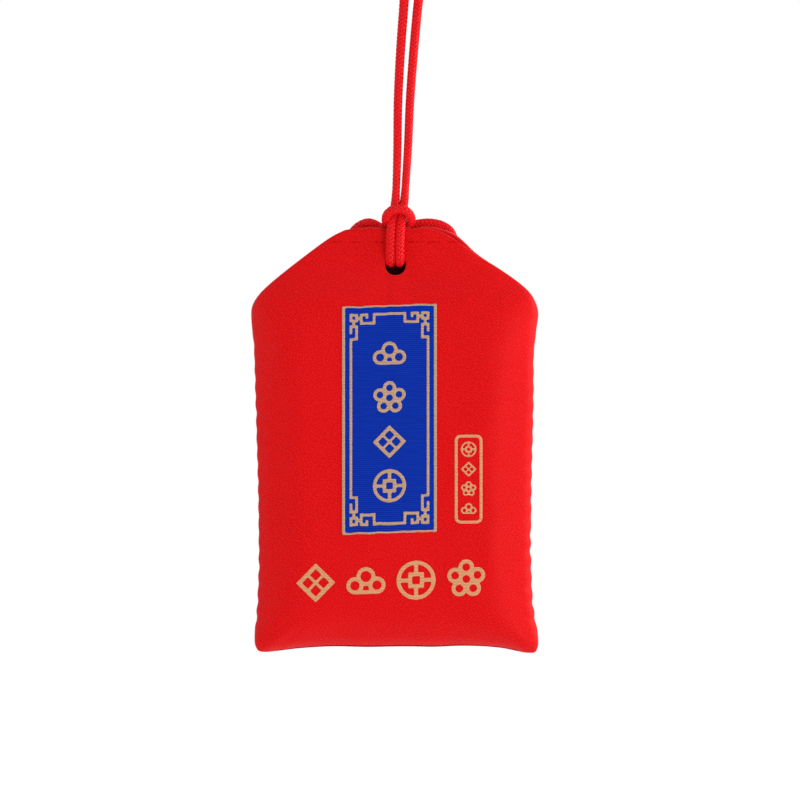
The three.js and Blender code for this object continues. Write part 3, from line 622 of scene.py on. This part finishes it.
def set_stage():
    scene = bpy.context.scene
    scene.view_settings.view_transform = "Standard"
    lens = bpy.data.cameras.new("camera")
    lens.lens = LENS
    lens.sensor_width = SENSOR
    lens.clip_start = 0.01
    camera = bpy.data.objects.new("camera", lens)
    away = VIEW_WIDTH * LENS / SENSOR * MM
    camera.location = Vector(to_row(VIEW_CENTRE)) - Vector((0, away, 0))
    camera.rotation_euler = (math.pi / 2, 0, 0)
    scene.collection.objects.link(camera)
    scene.camera = camera

    world = bpy.data.worlds.new("studio")
    world.use_nodes = True
    tree = world.node_tree
    tree.nodes.clear()
    path = add_node(tree, "ShaderNodeLightPath")
    shine = add_node(
        tree, "ShaderNodeMath",
        {0: path.outputs["Is Glossy Ray"], 1: path.outputs["Is Transmission Ray"]}, operation="MAXIMUM",
    )
    seen = add_node(
        tree, "ShaderNodeMath", {0: path.outputs["Is Camera Ray"], 1: shine.outputs[0]}, operation="MAXIMUM",
    )
    soft = add_node(tree, "ShaderNodeBackground", {"Color": (1, 1, 1, 1), "Strength": AMBIENT})
    white = add_node(tree, "ShaderNodeBackground", {"Color": (1, 1, 1, 1), "Strength": 1.0})
    both = add_node(
        tree, "ShaderNodeMixShader", {0: seen.outputs[0], 1: soft.outputs[0], 2: white.outputs[0]},
    )
    add_node(tree, "ShaderNodeOutputWorld", {"Surface": both.outputs[0]})
    scene.world = world

    # Boxes at both sides of the camera, the right one stronger and lower, and one beside the object
    for name, (watts, size, place) in SOFT_BOXES.items():
        box = bpy.data.lights.new(name, "AREA")
        box.shape = "SQUARE"
        box.size = size
        box.energy = watts
        lamp = bpy.data.objects.new(name, box)
        lamp.location = Vector(to_row(VIEW_CENTRE)) + Vector(place)
        lamp.rotation_euler = (-Vector(place)).to_track_quat("-Z", "Y").to_euler()
        scene.collection.objects.link(lamp)

    # Pale floor that looks white to the camera and still takes the shadow
    material, tree = new_material("white_floor")
    path = add_node(tree, "ShaderNodeLightPath")
    paint = add_node(tree, "ShaderNodeBsdfDiffuse", {"Color": linear("f6f6f6")})
    glow = add_node(tree, "ShaderNodeEmission", {"Color": (1, 1, 1, 1), "Strength": FLOOR_GLOW})
    share = add_node(
        tree, "ShaderNodeMath", {0: path.outputs["Is Camera Ray"], 1: FLOOR_GLOW_SHARE}, operation="MULTIPLY",
    )
    both = add_node(
        tree, "ShaderNodeMixShader", {0: share.outputs[0], 1: paint.outputs[0], 2: glow.outputs[0]},
    )
    add_node(tree, "ShaderNodeOutputMaterial", {"Surface": both.outputs[0]})
    corners = [(-1, -1), (1, -1), (1, 1), (-1, 1)]
    points = [(x * FLOOR_REACH, y * FLOOR_REACH, -FLOOR_DROP) for x, y in corners]
    floor = make_piece("floor", points, [(0, 1, 2, 3)], material)


set_stage()


# Cord

def cord_line(points):
    """A cord's middle line at even steps, with two directions across it that don't turn round it."""
    line = curve_through(points)
    line = evenly(line, int(length_along(line)[-1] / CORD_STEP))
    along = np.gradient(line, axis=0)
    along /= np.linalg.norm(along, axis=1, keepdims=True)
    across = np.empty_like(line)
    across[0] = np.cross(along[0], (0, 1, 0))
    for i in range(1, len(line)):
        across[i] = across[i - 1] - along[i] * (across[i - 1] @ along[i])
        across[i] /= np.linalg.norm(across[i])
    return line, across, np.cross(along, across)


def tube(middle, wide, high, sides):
    """Points, faces and places of a closed tube whose section lies between two half-axes."""
    turn = np.arange(sides) * 2 * np.pi / sides
    ring = np.cos(turn)[None, :, None] * wide[:, None] + np.sin(turn)[None, :, None] * high[:, None]
    points = (middle[:, None] + ring).reshape(-1, 3)
    at = np.arange(len(middle) - 1)[:, None] * sides + np.arange(sides)
    beside = np.roll(at, -1, axis=1)
    faces = np.stack([at, beside, beside + sides, at + sides], axis=-1).reshape(-1, 4).tolist()
    last = len(points) - sides
    faces += [list(range(sides))[::-1], list(range(last, last + sides))]
    run = np.repeat(length_along(middle), sides)
    return points, faces, np.stack([run, np.tile(turn / (2 * np.pi), len(middle))], axis=1)


def braided(name, line, across, beside, first=0, last=None, pinched=False):
    """A stretch of round braid: yarns in both directions, each over two and under two, on a core."""
    last = len(line) if last is None else last
    run = np.arange(first, last) * CORD_STEP
    line, across, beside = line[first:last], across[first:last], beside[first:last]
    girth = np.interp(line[:, 2], GIRTH_HEIGHTS, GIRTH_SHARES)[:, None]
    if pinched:
        girth *= 1 - PINCH * np.exp(-(((line[:, 2:] - PINCH_HEIGHT) / PINCH_REACH) ** 2))
    across, beside = across * girth, beside * girth
    crossing = run / (BRAID_LEAD / (2 * YARNS))
    middle_radius = BRAID_DIAMETER / 2 - YARN_THICKNESS / 2 - YARN_LIFT
    tubes = [tube(line, across * CORE_RADIUS, beside * CORE_RADIUS, 8)]
    for way in (1, -1):
        for yarn in range(YARNS):
            turn = 2 * np.pi * (yarn / YARNS + way * run / BRAID_LEAD)
            over = np.cos(np.pi / 2 * (2 * yarn + way * crossing - 1.5 + way))
            radius = middle_radius + YARN_LIFT * np.tanh(1.6 * over) / np.tanh(1.6)
            out = np.cos(turn)[:, None] * across + np.sin(turn)[:, None] * beside
            middle = line + radius[:, None] * out
            along = np.gradient(middle, axis=0)
            side = np.cross(along, out)
            side /= np.linalg.norm(side, axis=1, keepdims=True)
            tubes.append(tube(middle, -side * YARN_WIDTH / 2, out * YARN_THICKNESS / 2, 6))
    counts = np.cumsum([0] + [len(points) for points, _, _ in tubes])
    faces = [
        [corner + start for corner in face] for (_, part, _), start in zip(tubes, counts) for face in part
    ]
    points = np.vstack([points for points, _, _ in tubes])
    return make_piece(name, points, faces, RED_BRAID, np.vstack([uv for _, _, uv in tubes]))


def dress(piece, body, slot, *nodes):
    """A finished piece rides on its body and stands for its solids, which it hides; the slot is not used."""
    if body:
        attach(piece, body)
    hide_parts(*nodes)
    return piece


def make_cord():
    stretches = {
        "left_strand_cord": LEFT_STRAND, "left_leg_cord": LEFT_LEG, "left_ear_cord": LEFT_EAR,
        "hitch_band_cord": HITCH_BAND, "right_ear_cord": RIGHT_EAR, "right_leg_cord": RIGHT_LEG,
        "right_strand_cord": RIGHT_STRAND,
    }
    line, across, beside = cord_line([point for points in stretches.values() for point in points])
    cords = {}
    first = 0
    for name, points in stretches.items():
        end = int(np.linalg.norm(line[first:] - points[-1], axis=1).argmin()) + first + 1
        cords[name] = braided(name, line, across, beside, first, end, pinched="leg" in name or "band" in name)
        if "strand" in name:
            cords[name + "_path"] = to_row(line[first:end])
        first = end - 1

    for side in ("left", "right"):
        strand = cords[f"{side}_strand_cord"]
        leg = cords[f"{side}_leg_cord"]
        ear = cords[f"{side}_ear_cord"]
        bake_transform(strand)
        dress(strand, None, "red_cord", f"{side}_upper_strand", f"{side}_lower_strand")
        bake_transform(leg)
        dress(leg, None, "red_cord", f"{side}_leg")
        dress(ear, "hitch", "red_cord", f"{side}_ear")
    dress(cords["hitch_band_cord"], "hitch", "red_cord", "hitch_band")

    turn = np.linspace(0, 2 * np.pi, 121)
    reach = KNOT_RADIUS + KNOT_SWING * np.cos(3 * turn)
    around = 2 * turn + np.pi / 2
    loops = np.stack([reach * np.cos(around), KNOT_SWING * np.sin(3 * turn), reach * np.sin(around)], axis=1)
    loops += KNOT_CENTRE
    knot = dress(braided("end_knot_cord", *cord_line(loops)), "hanging_loop", "red_cord", "end_knot")
    for side, points in [("left", LEFT_TAIL), ("right", RIGHT_TAIL)]:
        tail = braided(f"{side}_tail_cord", *cord_line(points))
        dress(tail, "hanging_loop", "red_cord", f"{side}_tail")


make_cord()


# Cloth

def panel_outline(side):
    """Left, right, foot and mouth edges of the front panel (side -1) or the back panel (side 1)."""
    right, mouth = (FRONT_RIGHT_EDGE, FRONT_MOUTH) if side < 0 else (BACK_RIGHT_EDGE, BACK_MOUTH)
    return [
        evenly(curve_through(edge), count)
        for edge, count in [(LEFT_EDGE, ROWS), (right, ROWS), (FOOT_EDGE, COLUMNS), (mouth, COLUMNS)]
    ]


def flat_panel(left, right, foot, mouth):
    """The panel laid flat: rows of points from the foot up that fill its outline."""
    u = np.linspace(0, 1, COLUMNS)[None, :, None]
    v = np.linspace(0, 1, ROWS)[:, None, None]
    sides = (1 - u) * left[:, None] + u * right[:, None]
    ends = (1 - v) * foot[None] + v * mouth[None]
    corners = (1 - v) * ((1 - u) * left[0] + u * right[0]) + v * ((1 - u) * left[-1] + u * right[-1])
    return sides + ends - corners


def turned_half(z):
    """Distance from the mid-plane of cloth that has turned in at an edge, by height."""
    at_fold = (TURNED_HALF + LAP) * smoothstep(*FOLD_HEIGHTS, z)
    return -LAP + at_fold + TURNED_GAPE * smoothstep(*MOUTH_HEIGHTS, z)


def ripples(flat, side):
    """Slight waves of the cloth over its filling."""
    return np.array([
        [
            RIPPLE * noise.noise((x / RIPPLE_LENGTH, z / RIPPLE_LENGTH, 7 * side))
            + RIPPLE / 3 * noise.noise((3 * x / RIPPLE_LENGTH, 3 * z / RIPPLE_LENGTH, 11 * side))
            for x, z in row
        ]
        for row in flat
    ])


def drawn_in(edge, end):
    """How strongly the seam draws in each point of a side edge: most at a stitch and towards the foot."""
    along = length_along(edge)
    stitch = (0.5 + 0.5 * np.cos(2 * np.pi * along / STITCH_PITCH)) ** 1.5
    uneven = np.array(
        [1 + SEAM_UNEVEN * noise.noise((0.7 * s / STITCH_PITCH, 5 * end, 0.5)) for s in along]
    )
    pull = SEAM_PULL - SEAM_PULL_LOSS * along / SEAM_LENGTH
    sewn = smoothstep(*SEAM_SETS_IN, along) * (1 - smoothstep(*SEAM_DIES_AWAY, along))
    return stitch * uneven * pull * sewn


def open_hole(points, faces, x, z, wide, high):
    """The panel's faces with the cord's hole left out, its rim drawn to an ellipse."""
    flat = (points[:, [0, 2]] - (x, z)) / (wide, high)
    inside = np.linalg.norm(flat[faces].mean(axis=1), axis=1) < 1
    rim = np.intersect1d(faces[inside], faces[~inside])
    spoke = flat[rim] / np.linalg.norm(flat[rim], axis=1, keepdims=True)
    points[rim[:, None], [0, 2]] = spoke * (wide, high) + (x, z)
    return faces[~inside]


def settle(points, faces, held):
    """The cloth as it comes to rest over its filling, which pushes it out softly between the held points."""
    scene = bpy.context.scene
    mesh = bpy.data.meshes.new("settling")
    mesh.from_pydata((points / SETTLE_UNIT).tolist(), [], faces.tolist())
    cloth = bpy.data.objects.new("settling", mesh)
    scene.collection.objects.link(cloth)
    cloth.vertex_groups.new(name="held").add(np.flatnonzero(held).tolist(), 1.0, "REPLACE")
    simulation = add_modifier(cloth, "CLOTH")
    simulation.point_cache.frame_start = 1
    simulation.point_cache.frame_end = SETTLE_FRAMES
    for name, value in {
        "quality": 6, "mass": 0.02, "tension_stiffness": 40, "compression_stiffness": 40,
        "shear_stiffness": 10, "bending_stiffness": 2, "vertex_group_mass": "held",
        "shrink_min": -SETTLE_SLACK, "use_pressure": True, "uniform_pressure_force": SETTLE_PRESSURE,
    }.items():
        setattr(simulation.settings, name, value)
    simulation.settings.effector_weights.gravity = 0
    simulation.collision_settings.use_collision = False
    for step in range(1, SETTLE_FRAMES + 1):
        scene.frame_set(step)
    rested = cloth.evaluated_get(bpy.context.evaluated_depsgraph_get()).data
    moved = np.array([vertex.co for vertex in rested.vertices]) * SETTLE_UNIT - points
    far = np.linalg.norm(moved, axis=1, keepdims=True)
    scene.frame_set(1)
    bpy.data.objects.remove(cloth)
    bpy.data.meshes.remove(mesh)
    return points + moved * np.tanh(far / SETTLE_CAP) * SETTLE_CAP / np.maximum(far, 1e-9)


def panel_shape(side):
    """Points, faces and flat places of a panel, turned in at its edges and open at the cord's hole."""
    left, right, foot, mouth = panel_outline(side)
    flat = flat_panel(left, right, foot, mouth)
    x, z = flat[..., 0], flat[..., 1]
    from_left, from_right = distance_to(flat, left), distance_to(flat, right)
    from_side = np.minimum(from_left, from_right)
    from_foot, from_mouth = distance_to(flat, foot), distance_to(flat, mouth)

    # Crowned section: flat on the filling, rolling off to the seams, the fold and the mouth
    edge = SEAM_HALF + (FOLD_HALF - SEAM_HALF) * smoothstep(*FOLD_HEIGHTS, z)
    edge += (MOUTH_HALF - FOLD_HALF) * smoothstep(*MOUTH_HEIGHTS, z)
    closed = (1 - smoothstep(0, FOOT_FOLD, from_foot)) * smoothstep(*FOOT_CORNER, from_side)
    edge -= (SEAM_HALF + LAP) * closed
    top_half = FRONT_TOP_HALF if side < 0 else BACK_TOP_HALF
    core = POUCH_HALF + (top_half - POUCH_HALF) * smoothstep(PAD_TOP, FLAT_TOP, z)
    core = MOUTH_HALF + (core - MOUTH_HALF) * rounded(from_mouth / MOUTH_ROLL)
    swell = rounded(from_side / SIDE_ROLL, FULLNESS) * rounded(from_foot / FOOT_ROLL, FULLNESS)
    half = edge + (core - edge) * swell
    half += ripples(flat, side) * swell

    # Seam threads draw the edge in and dent the cloth beside it; the hem's thread dives between its stitches
    at_left = from_left < from_right
    drawn = np.where(at_left, drawn_in(left, -1)[:, None], drawn_in(right, 1)[:, None])
    pull = SEAM_DRAW * drawn * np.exp(-from_side / SEAM_DRAW_REACH)
    half -= SEAM_DENT * drawn * bell(from_side - SEAM_DENT_INSET, SEAM_DENT_WIDTH)
    between = (x + HEM_REACH) % HEM_PITCH - HEM_PITCH / 2
    groove = HEM_SHALLOW + (1 - HEM_SHALLOW) * bell(between, HEM_DIVE)
    half -= HEM_DENT * groove * bell(z - HEM_STITCH_HEIGHT, HEM_DENT_WIDTH)
    if side < 0:
        half -= LEG_DENT * bell(x, LEG_DENT_WIDTH) * smoothstep(*LEG_DENT_HEIGHTS, z)
        half -= CREASE * bell(from_right - CREASE_INSET, CREASE_WIDTH) * smoothstep(*CREASE_HEIGHTS, z)
    gape = bell(x - GAPE_X, GAPE_REACH) * np.exp(-np.minimum(from_right, from_mouth) / GAPE_REACH)
    half += (FRONT_GAPE if side < 0 else BACK_GAPE) * gape
    points = np.stack([x + np.where(at_left, pull, -pull), side * half, z], axis=-1).reshape(-1, 3)
    held = (from_side < SETTLE_EDGE) | (from_foot < SETTLE_EDGE) | (z > SETTLE_TOP)
    faces = open_hole(points, grid_faces(ROWS, COLUMNS), *(FRONT_HOLE if side < 0 else BACK_HOLE))

    # Edges turn in through a quarter round and run on a little between the panels
    at = np.arange(ROWS * COLUMNS).reshape(ROWS, COLUMNS)
    loop = np.concatenate([at[0, :-1], at[:-1, -1], at[-1, :0:-1], at[:0:-1, 0]])
    rim_flat = points[loop][:, [0, 2]]
    run = np.roll(rim_flat, -1, axis=0) - np.roll(rim_flat, 1, axis=0)
    outward = np.stack([run[:, 1], -run[:, 0]], axis=1)
    outward /= np.linalg.norm(outward, axis=1, keepdims=True)
    rim_half = side * points[loop, 1]
    turned = turned_half(rim_flat[:, 1])
    rings = [
        (LIP * (1 - math.cos(angle)), turned + (rim_half - turned) * (1 - math.sin(angle)), LIP * angle)
        for angle in LIP_ANGLES
    ]
    rings.append((LIP + LIP_RUN, turned, LIP * math.pi / 2 + LIP_RUN))
    uv = flat.reshape(-1, 2)
    places = uv[loop]
    last = loop
    for inset, ring_half, spread in rings:
        ring_flat = rim_flat - outward * inset
        new = len(points) + np.arange(len(loop))
        points = np.vstack([points, np.stack([ring_flat[:, 0], side * ring_half, ring_flat[:, 1]], axis=1)])
        uv = np.vstack([uv, places + outward * spread])
        faces = np.vstack([faces, np.stack([np.roll(last, -1), last, new, np.roll(new, -1)], axis=1)])
        last = new

    used, faces = np.unique(faces, return_inverse=True)
    faces = faces.reshape(-1, 4)
    if side > 0:
        faces = faces[:, ::-1]
    held = np.concatenate([held.ravel(), np.ones(len(points) - held.size, bool)])
    return settle(points[used], faces, held[used]), faces, uv[used]


def make_cloth(name, side, node):
    points, faces, uv = panel_shape(side)
    cloth = make_piece(name, points, faces, RED_SATIN, uv)
    # The inner face takes the darkened reverse: painted shade inside the pouch, seen through the hole and
    # gaps
    cloth.data.materials.append(SATIN_REVERSE_PAINTED_SHADE)
    add_modifier(cloth, "SOLIDIFY", thickness=CLOTH * MM, offset=-1, material_offset=1)
    add_modifier(cloth, "SUBSURF", levels=1, render_levels=1)
    return dress(cloth, "pouch", "red_satin", node)


def make_hem(name, side, node):
    """The turned top edge inside the mouth."""
    mouth = panel_outline(side)[3][1:-1]
    drops = np.linspace(LIP + HEM_START, HEM_DEPTH, HEM_ROWS)
    points = [
        (x, side * (turned_half(z) - HEM_LEAN * drop / HEM_DEPTH), z - drop)
        for drop in drops for x, z in mouth
    ]
    faces = grid_faces(len(drops), len(mouth))
    uv = [(x, z) for x, _, z in points]
    hem = make_piece(name, points, faces if side > 0 else faces[:, ::-1], RED_SATIN, uv)
    add_modifier(hem, "SOLIDIFY", thickness=CLOTH * MM, offset=-side)
    return dress(hem, "pouch", "red_satin", node)


def make_tuck(name, end, node):
    """The corner of the cloth, folded in between the panels: a layer on each, joined along the fold."""
    layers = []
    lowest = (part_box(node)[0].z - POUCH_ORIGIN[2]) / MM + TUCK_THICKNESS  # the amulet slides up to here
    for side in (-1, 1):
        edge = panel_outline(side)[0 if end < 0 else 1]
        shoulder = evenly(edge[edge[:, 1] > TUCK_FOOT], TUCK_STATIONS)
        run = np.gradient(shoulder, axis=0)
        inward = np.stack([run[:, 1], -run[:, 0]], axis=1) * -end
        inward /= np.linalg.norm(inward, axis=1, keepdims=True)
        along = length_along(shoulder)
        depth = TUCK_DEPTH + TUCK_SPREAD * np.minimum(along, along[-1] - along + HEM_DEPTH)
        leaving = turned_half(shoulder[:, 1]) + TUCK_SUNK + TUCK_THICKNESS / 2
        rows = [(np.full(TUCK_STATIONS, LIP + TUCK_START), leaving)]
        for share in np.linspace(0, 1, TUCK_ROWS):
            rows.append((LIP + LIP_RUN + depth * share, leaving + (TUCK_INNER_HALF - leaving) * share))
        for inset, half in rows[::-side]:
            place = shoulder + inward * inset[:, None]
            height = np.maximum(place[:, 1], np.minimum(lowest, shoulder[:, 1]))
            layers.append(np.stack([place[:, 0], side * half, height], axis=1))
    points = np.vstack(layers)
    tuck = make_piece(name, points, grid_faces(len(layers), TUCK_STATIONS), RED_SATIN, points[:, [0, 2]])
    add_modifier(tuck, "SOLIDIFY", thickness=TUCK_THICKNESS * MM, offset=0)
    return dress(tuck, "pouch", "red_satin", node)


def make_pad(name, node):
    """A sheet of wadding, thin and soft at its edges."""
    low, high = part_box(node)
    low, high = (np.array(low) - POUCH_ORIGIN) / MM, (np.array(high) - POUCH_ORIGIN) / MM
    columns, rows = 43, 65
    x, z = np.meshgrid(np.linspace(low[0], high[0], columns), np.linspace(low[2], high[2], rows))
    rim = np.minimum(np.minimum(x - low[0], high[0] - x), np.minimum(z - low[2], high[2] - z))
    middle, half = (low[1] + high[1]) / 2, (high[1] - low[1]) / 2
    loft = np.array([
        [noise.noise((a / PAD_LUMP, b / PAD_LUMP, middle)) for a, b in zip(*row)] for row in zip(x, z)
    ])
    half = half * rounded(rim / PAD_ROUND) * (1 - PAD_UNEVEN + PAD_UNEVEN * loft)
    sheets = [np.stack([x, middle + way * half, z], axis=-1).reshape(-1, 3) for way in (-1, 1)]
    faces = grid_faces(rows, columns)
    pad = make_piece(name, np.vstack(sheets), [*faces, *(faces[:, ::-1] + rows * columns)], WADDING)
    close_up(pad.data, 0.01 * MM)
    return dress(pad, "pouch", "wadding", node)


front_cloth = make_cloth("front_cloth", -1, "front_panel")
back_cloth = make_cloth("back_cloth", 1, "back_panel")
front_hem = make_hem("front_turned_hem", -1, "front_hem")
back_hem = make_hem("back_turned_hem", 1, "back_hem")
left_tuck = make_tuck("left_folded_corner", -1, "left_corner_tuck")
right_tuck = make_tuck("right_folded_corner", 1, "right_corner_tuck")
front_pad = make_pad("front_pad", "front_wadding")
back_pad = make_pad("back_pad", "back_wadding")
for node, material, slot in [
    ("amulet_tablet", BASSWOOD, "basswood"), ("paper_wrapper", WHITE_PAPER, "white_paper"),
]:
    solid = bpy.data.objects[node]
    solid.data.materials.clear()
    solid.data.materials.append(material)


# Woven ornament

def cloth_surface(cloth):
    """A tree of the finished cloth's faces, on which ornament and stitches are laid."""
    return BVHTree.FromObject(cloth, bpy.context.evaluated_depsgraph_get())


def lay_on(surface, places, lifts, side=-1):
    """Points at places (x, z) on the cloth, each lifted off it by so many millimetres."""
    points = []
    for (x, z), lift in zip(places, lifts):
        start = Vector(to_row((x, side * 20, z)))
        y = (surface.ray_cast(start, Vector((0, -side, 0)))[0].y - POUCH_ORIGIN[1]) / MM
        points.append((x, y + side * lift, z))
    return points


def risen(places):
    """Places of the field's ground and border, which wave with the weft and rise near the foot."""
    x, z = places.T
    above = z - (x - FIELD_CENTRE[0]) * FIELD_SLANT - FIELD_CENTRE[1] + FIELD_HEIGHT / 2
    wave = np.array([noise.noise((a / WEFT_WAVE_LENGTH, b / WEFT_WAVE_HEIGHT, 0.3)) for a, b in places])
    return np.stack([x, z + np.interp(above, FOOT_HEIGHTS, FOOT_RISES) + WEFT_WAVE * wave], axis=1)


def field_stations(length, count):
    """Places along a side of the field, with a narrow strip at both ends."""
    inner = np.linspace(FIELD_STEP, length - FIELD_STEP, count)
    return np.concatenate([[0, FIELD_EDGE], inner, [length - FIELD_EDGE, length]])


def make_field(surface):
    """The blue ground: a slanted rectangle whose edges sink into the satin."""
    across, up = field_stations(FIELD_WIDTH, 32), field_stations(FIELD_HEIGHT, 76)
    a, b = np.meshgrid(across - FIELD_WIDTH / 2, up - FIELD_HEIGHT / 2)
    places = np.stack([FIELD_CENTRE[0] + a, FIELD_CENTRE[1] + b + a * FIELD_SLANT], axis=-1).reshape(-1, 2)
    lifts = np.full(a.shape, FIELD_LIFT)
    lifts[[0, -1]] = -SUNK
    lifts[:, [0, -1]] = -SUNK
    points = lay_on(surface, risen(places), lifts.ravel())
    field = make_piece("blue_ground", points, grid_faces(len(up), len(across)), BLUE_WEFT)
    return dress(field, "pouch", "blue_weft", "blue_field")


def soften(points, faces):
    """A solid mark as woven thread shows it, with every edge and corner rounded off."""
    mesh = bpy.data.meshes.new("soften")
    mesh.from_pydata(points.tolist(), [], faces)
    mark = bpy.data.objects.new("soften", mesh)
    bpy.context.scene.collection.objects.link(mark)
    close_up(mesh, 0.001)
    add_modifier(mark, "REMESH", mode="VOXEL", voxel_size=MARK_VOXEL)
    evaluated = mark.evaluated_get(bpy.context.evaluated_depsgraph_get())
    round_mesh = bpy.data.meshes.new_from_object(evaluated)
    rounding = bmesh.new()
    rounding.from_mesh(round_mesh)
    for _ in range(MARK_SMOOTHING):
        bmesh.ops.smooth_vert(
            rounding, verts=rounding.verts, factor=0.5, use_axis_x=True, use_axis_y=True, use_axis_z=True,
        )
    soft_points = np.array([vertex.co for vertex in rounding.verts])
    soft_faces = [[vertex.index for vertex in face.verts] for face in rounding.faces]
    rounding.free()
    bpy.data.objects.remove(mark)
    bpy.data.meshes.remove(mesh)
    bpy.data.meshes.remove(round_mesh)
    return soft_points, soft_faces


def make_mark(name, node, surface, ground_lift, border=False):
    """A gold mark: the node's outline in raised weft, a little uneven from thread to thread."""
    source = bpy.data.objects[node].data
    points = (np.array([vertex.co for vertex in source.vertices]) - POUCH_ORIGIN) / MM
    depth = points[:, 1]
    points[:, 1] = np.where(depth < depth.mean(), -MARK_ROUNDING, MARK_ROUNDING)
    points, faces = soften(points, [list(polygon.vertices) for polygon in source.polygons])
    cells = MARK_UNEVEN_CELLS * points
    uneven = np.array([noise.noise_vector(Vector((x, z, 0))) for x, _, z in cells])
    places = points[:, [0, 2]] + MARK_UNEVEN * uneven[:, :2]
    if border:
        places = risen(places)
    height = 0.5 - points[:, 1] / (2 * MARK_ROUNDING)
    lifts = -SUNK + (ground_lift + GOLD_LIFT + SUNK) * np.clip(height, 0, 1)
    gold = GOLD_WEFT if ground_lift else GOLD_ON_RED
    mark = make_piece(name, lay_on(surface, places, lifts), faces, gold)
    return dress(mark, "pouch", "gold_weft", node)


def make_ornament():
    surface = cloth_surface(front_cloth)
    make_field(surface)
    for node in ("gold_border_line", "gold_fret"):
        make_mark(node + "_weft", node, surface, FIELD_LIFT, border=True)
    for node in ("field_cloud", "field_blossom", "field_lattice", "field_coin"):
        make_mark(node + "_weft", node, surface, FIELD_LIFT)
    for node in (
        "seal_frame", "seal_coin", "seal_lattice", "seal_blossom", "seal_cloud",
        "row_lattice", "row_cloud", "row_coin", "row_blossom",
    ):
        make_mark(node + "_weft", node, surface, 0)


make_ornament()


# Stitches

def stitch_rows():
    """Node group that lays stitches of one size and direction along a line."""
    group = bpy.data.node_groups.new("stitch_rows", "GeometryNodeTree")
    for name, kind in [
        ("Line", "NodeSocketGeometry"), ("Pitch", "NodeSocketFloat"), ("Length", "NodeSocketFloat"),
        ("Thickness", "NodeSocketFloat"), ("Direction", "NodeSocketVector"), ("Thread", "NodeSocketMaterial"),
    ]:
        group.interface.new_socket(name=name, in_out="INPUT", socket_type=kind)
    group.interface.new_socket(name="Stitches", in_out="OUTPUT", socket_type="NodeSocketGeometry")
    given = add_node(group, "NodeGroupInput").outputs
    line = add_node(group, "GeometryNodeMeshToCurve", {"Mesh": given["Line"]})
    places = add_node(
        group, "GeometryNodeCurveToPoints",
        {"Curve": line.outputs[0], "Length": given["Pitch"]}, mode="LENGTH",
    )
    shape = add_node(group, "GeometryNodeMeshUVSphere", {"Segments": 8, "Rings": 6, "Radius": 0.5})
    size = add_node(
        group, "ShaderNodeCombineXYZ", {0: given["Length"], 1: given["Thickness"], 2: given["Thickness"]},
    )
    turned = add_node(group, "FunctionNodeAlignRotationToVector", {"Vector": given["Direction"]}, axis="X")
    laid = add_node(
        group, "GeometryNodeInstanceOnPoints",
        {
            "Points": places.outputs["Points"], "Instance": shape.outputs["Mesh"],
            "Rotation": turned.outputs[0], "Scale": size.outputs[0],
        },
    )
    real = add_node(group, "GeometryNodeRealizeInstances", {"Geometry": laid.outputs[0]})
    smooth = add_node(group, "GeometryNodeSetShadeSmooth", {"Geometry": real.outputs[0]})
    dyed = add_node(
        group, "GeometryNodeSetMaterial", {"Geometry": smooth.outputs[0], "Material": given["Thread"]},
    )
    add_node(group, "NodeGroupOutput", {"Stitches": dyed.outputs[0]})
    return group


STITCH_ROWS = stitch_rows()


def make_stitches(name, line, pitch, length, direction, node):
    """A row of stitches along a line of points."""
    mesh = bpy.data.meshes.new(name)
    mesh.from_pydata(to_row(line).tolist(), [(i, i + 1) for i in range(len(line) - 1)], [])
    row = bpy.data.objects.new(name, mesh)
    bpy.context.scene.collection.objects.link(row)
    modifier = row.modifiers.new("Stitches", "NODES")
    modifier.node_group = STITCH_ROWS
    values = {
        "Pitch": pitch * MM, "Length": length * MM, "Thickness": THREAD * MM, "Direction": direction,
        "Thread": RED_THREAD,
    }
    for socket in STITCH_ROWS.interface.items_tree:
        if socket.name in values:
            modifier[socket.identifier] = values[socket.name]
    evaluated = row.evaluated_get(bpy.context.evaluated_depsgraph_get())
    row.data = bpy.data.meshes.new_from_object(evaluated)
    row.data.name = name
    row.modifiers.clear()
    bpy.data.meshes.remove(mesh)
    return dress(row, "pouch", "red_thread", node)


def sew():
    for name, cloth, side in [("front", front_cloth, -1), ("back", back_cloth, 1)]:
        surface = cloth_surface(cloth)
        places = [(x, HEM_STITCH_HEIGHT) for x in np.linspace(-HEM_REACH, HEM_REACH, 80)]
        line = lay_on(surface, places, np.full(len(places), -THREAD_SUNK), side)
        make_stitches(f"{name}_hem_stitches", line, HEM_PITCH, HEM_STITCH, (1, 0, 0), f"{name}_hem_thread")
    left, right, _, _ = panel_outline(-1)
    for name, edge, end in [("left", left, -1), ("right", right, 1)]:
        along = length_along(edge)
        first, last = SEAM_STITCHES
        at = np.linspace(first * STITCH_PITCH, last * STITCH_PITCH, 120)
        x, z = (np.interp(at, along, edge[:, k]) for k in (0, 1))
        line = np.stack([x - end * SEAM_STITCH_INSET, np.zeros_like(at), z], axis=1)
        make_stitches(
            f"{name}_seam_stitches", line, STITCH_PITCH, SEAM_STITCH, (0, 1, 0), f"{name}_seam_thread",
        )


sew()
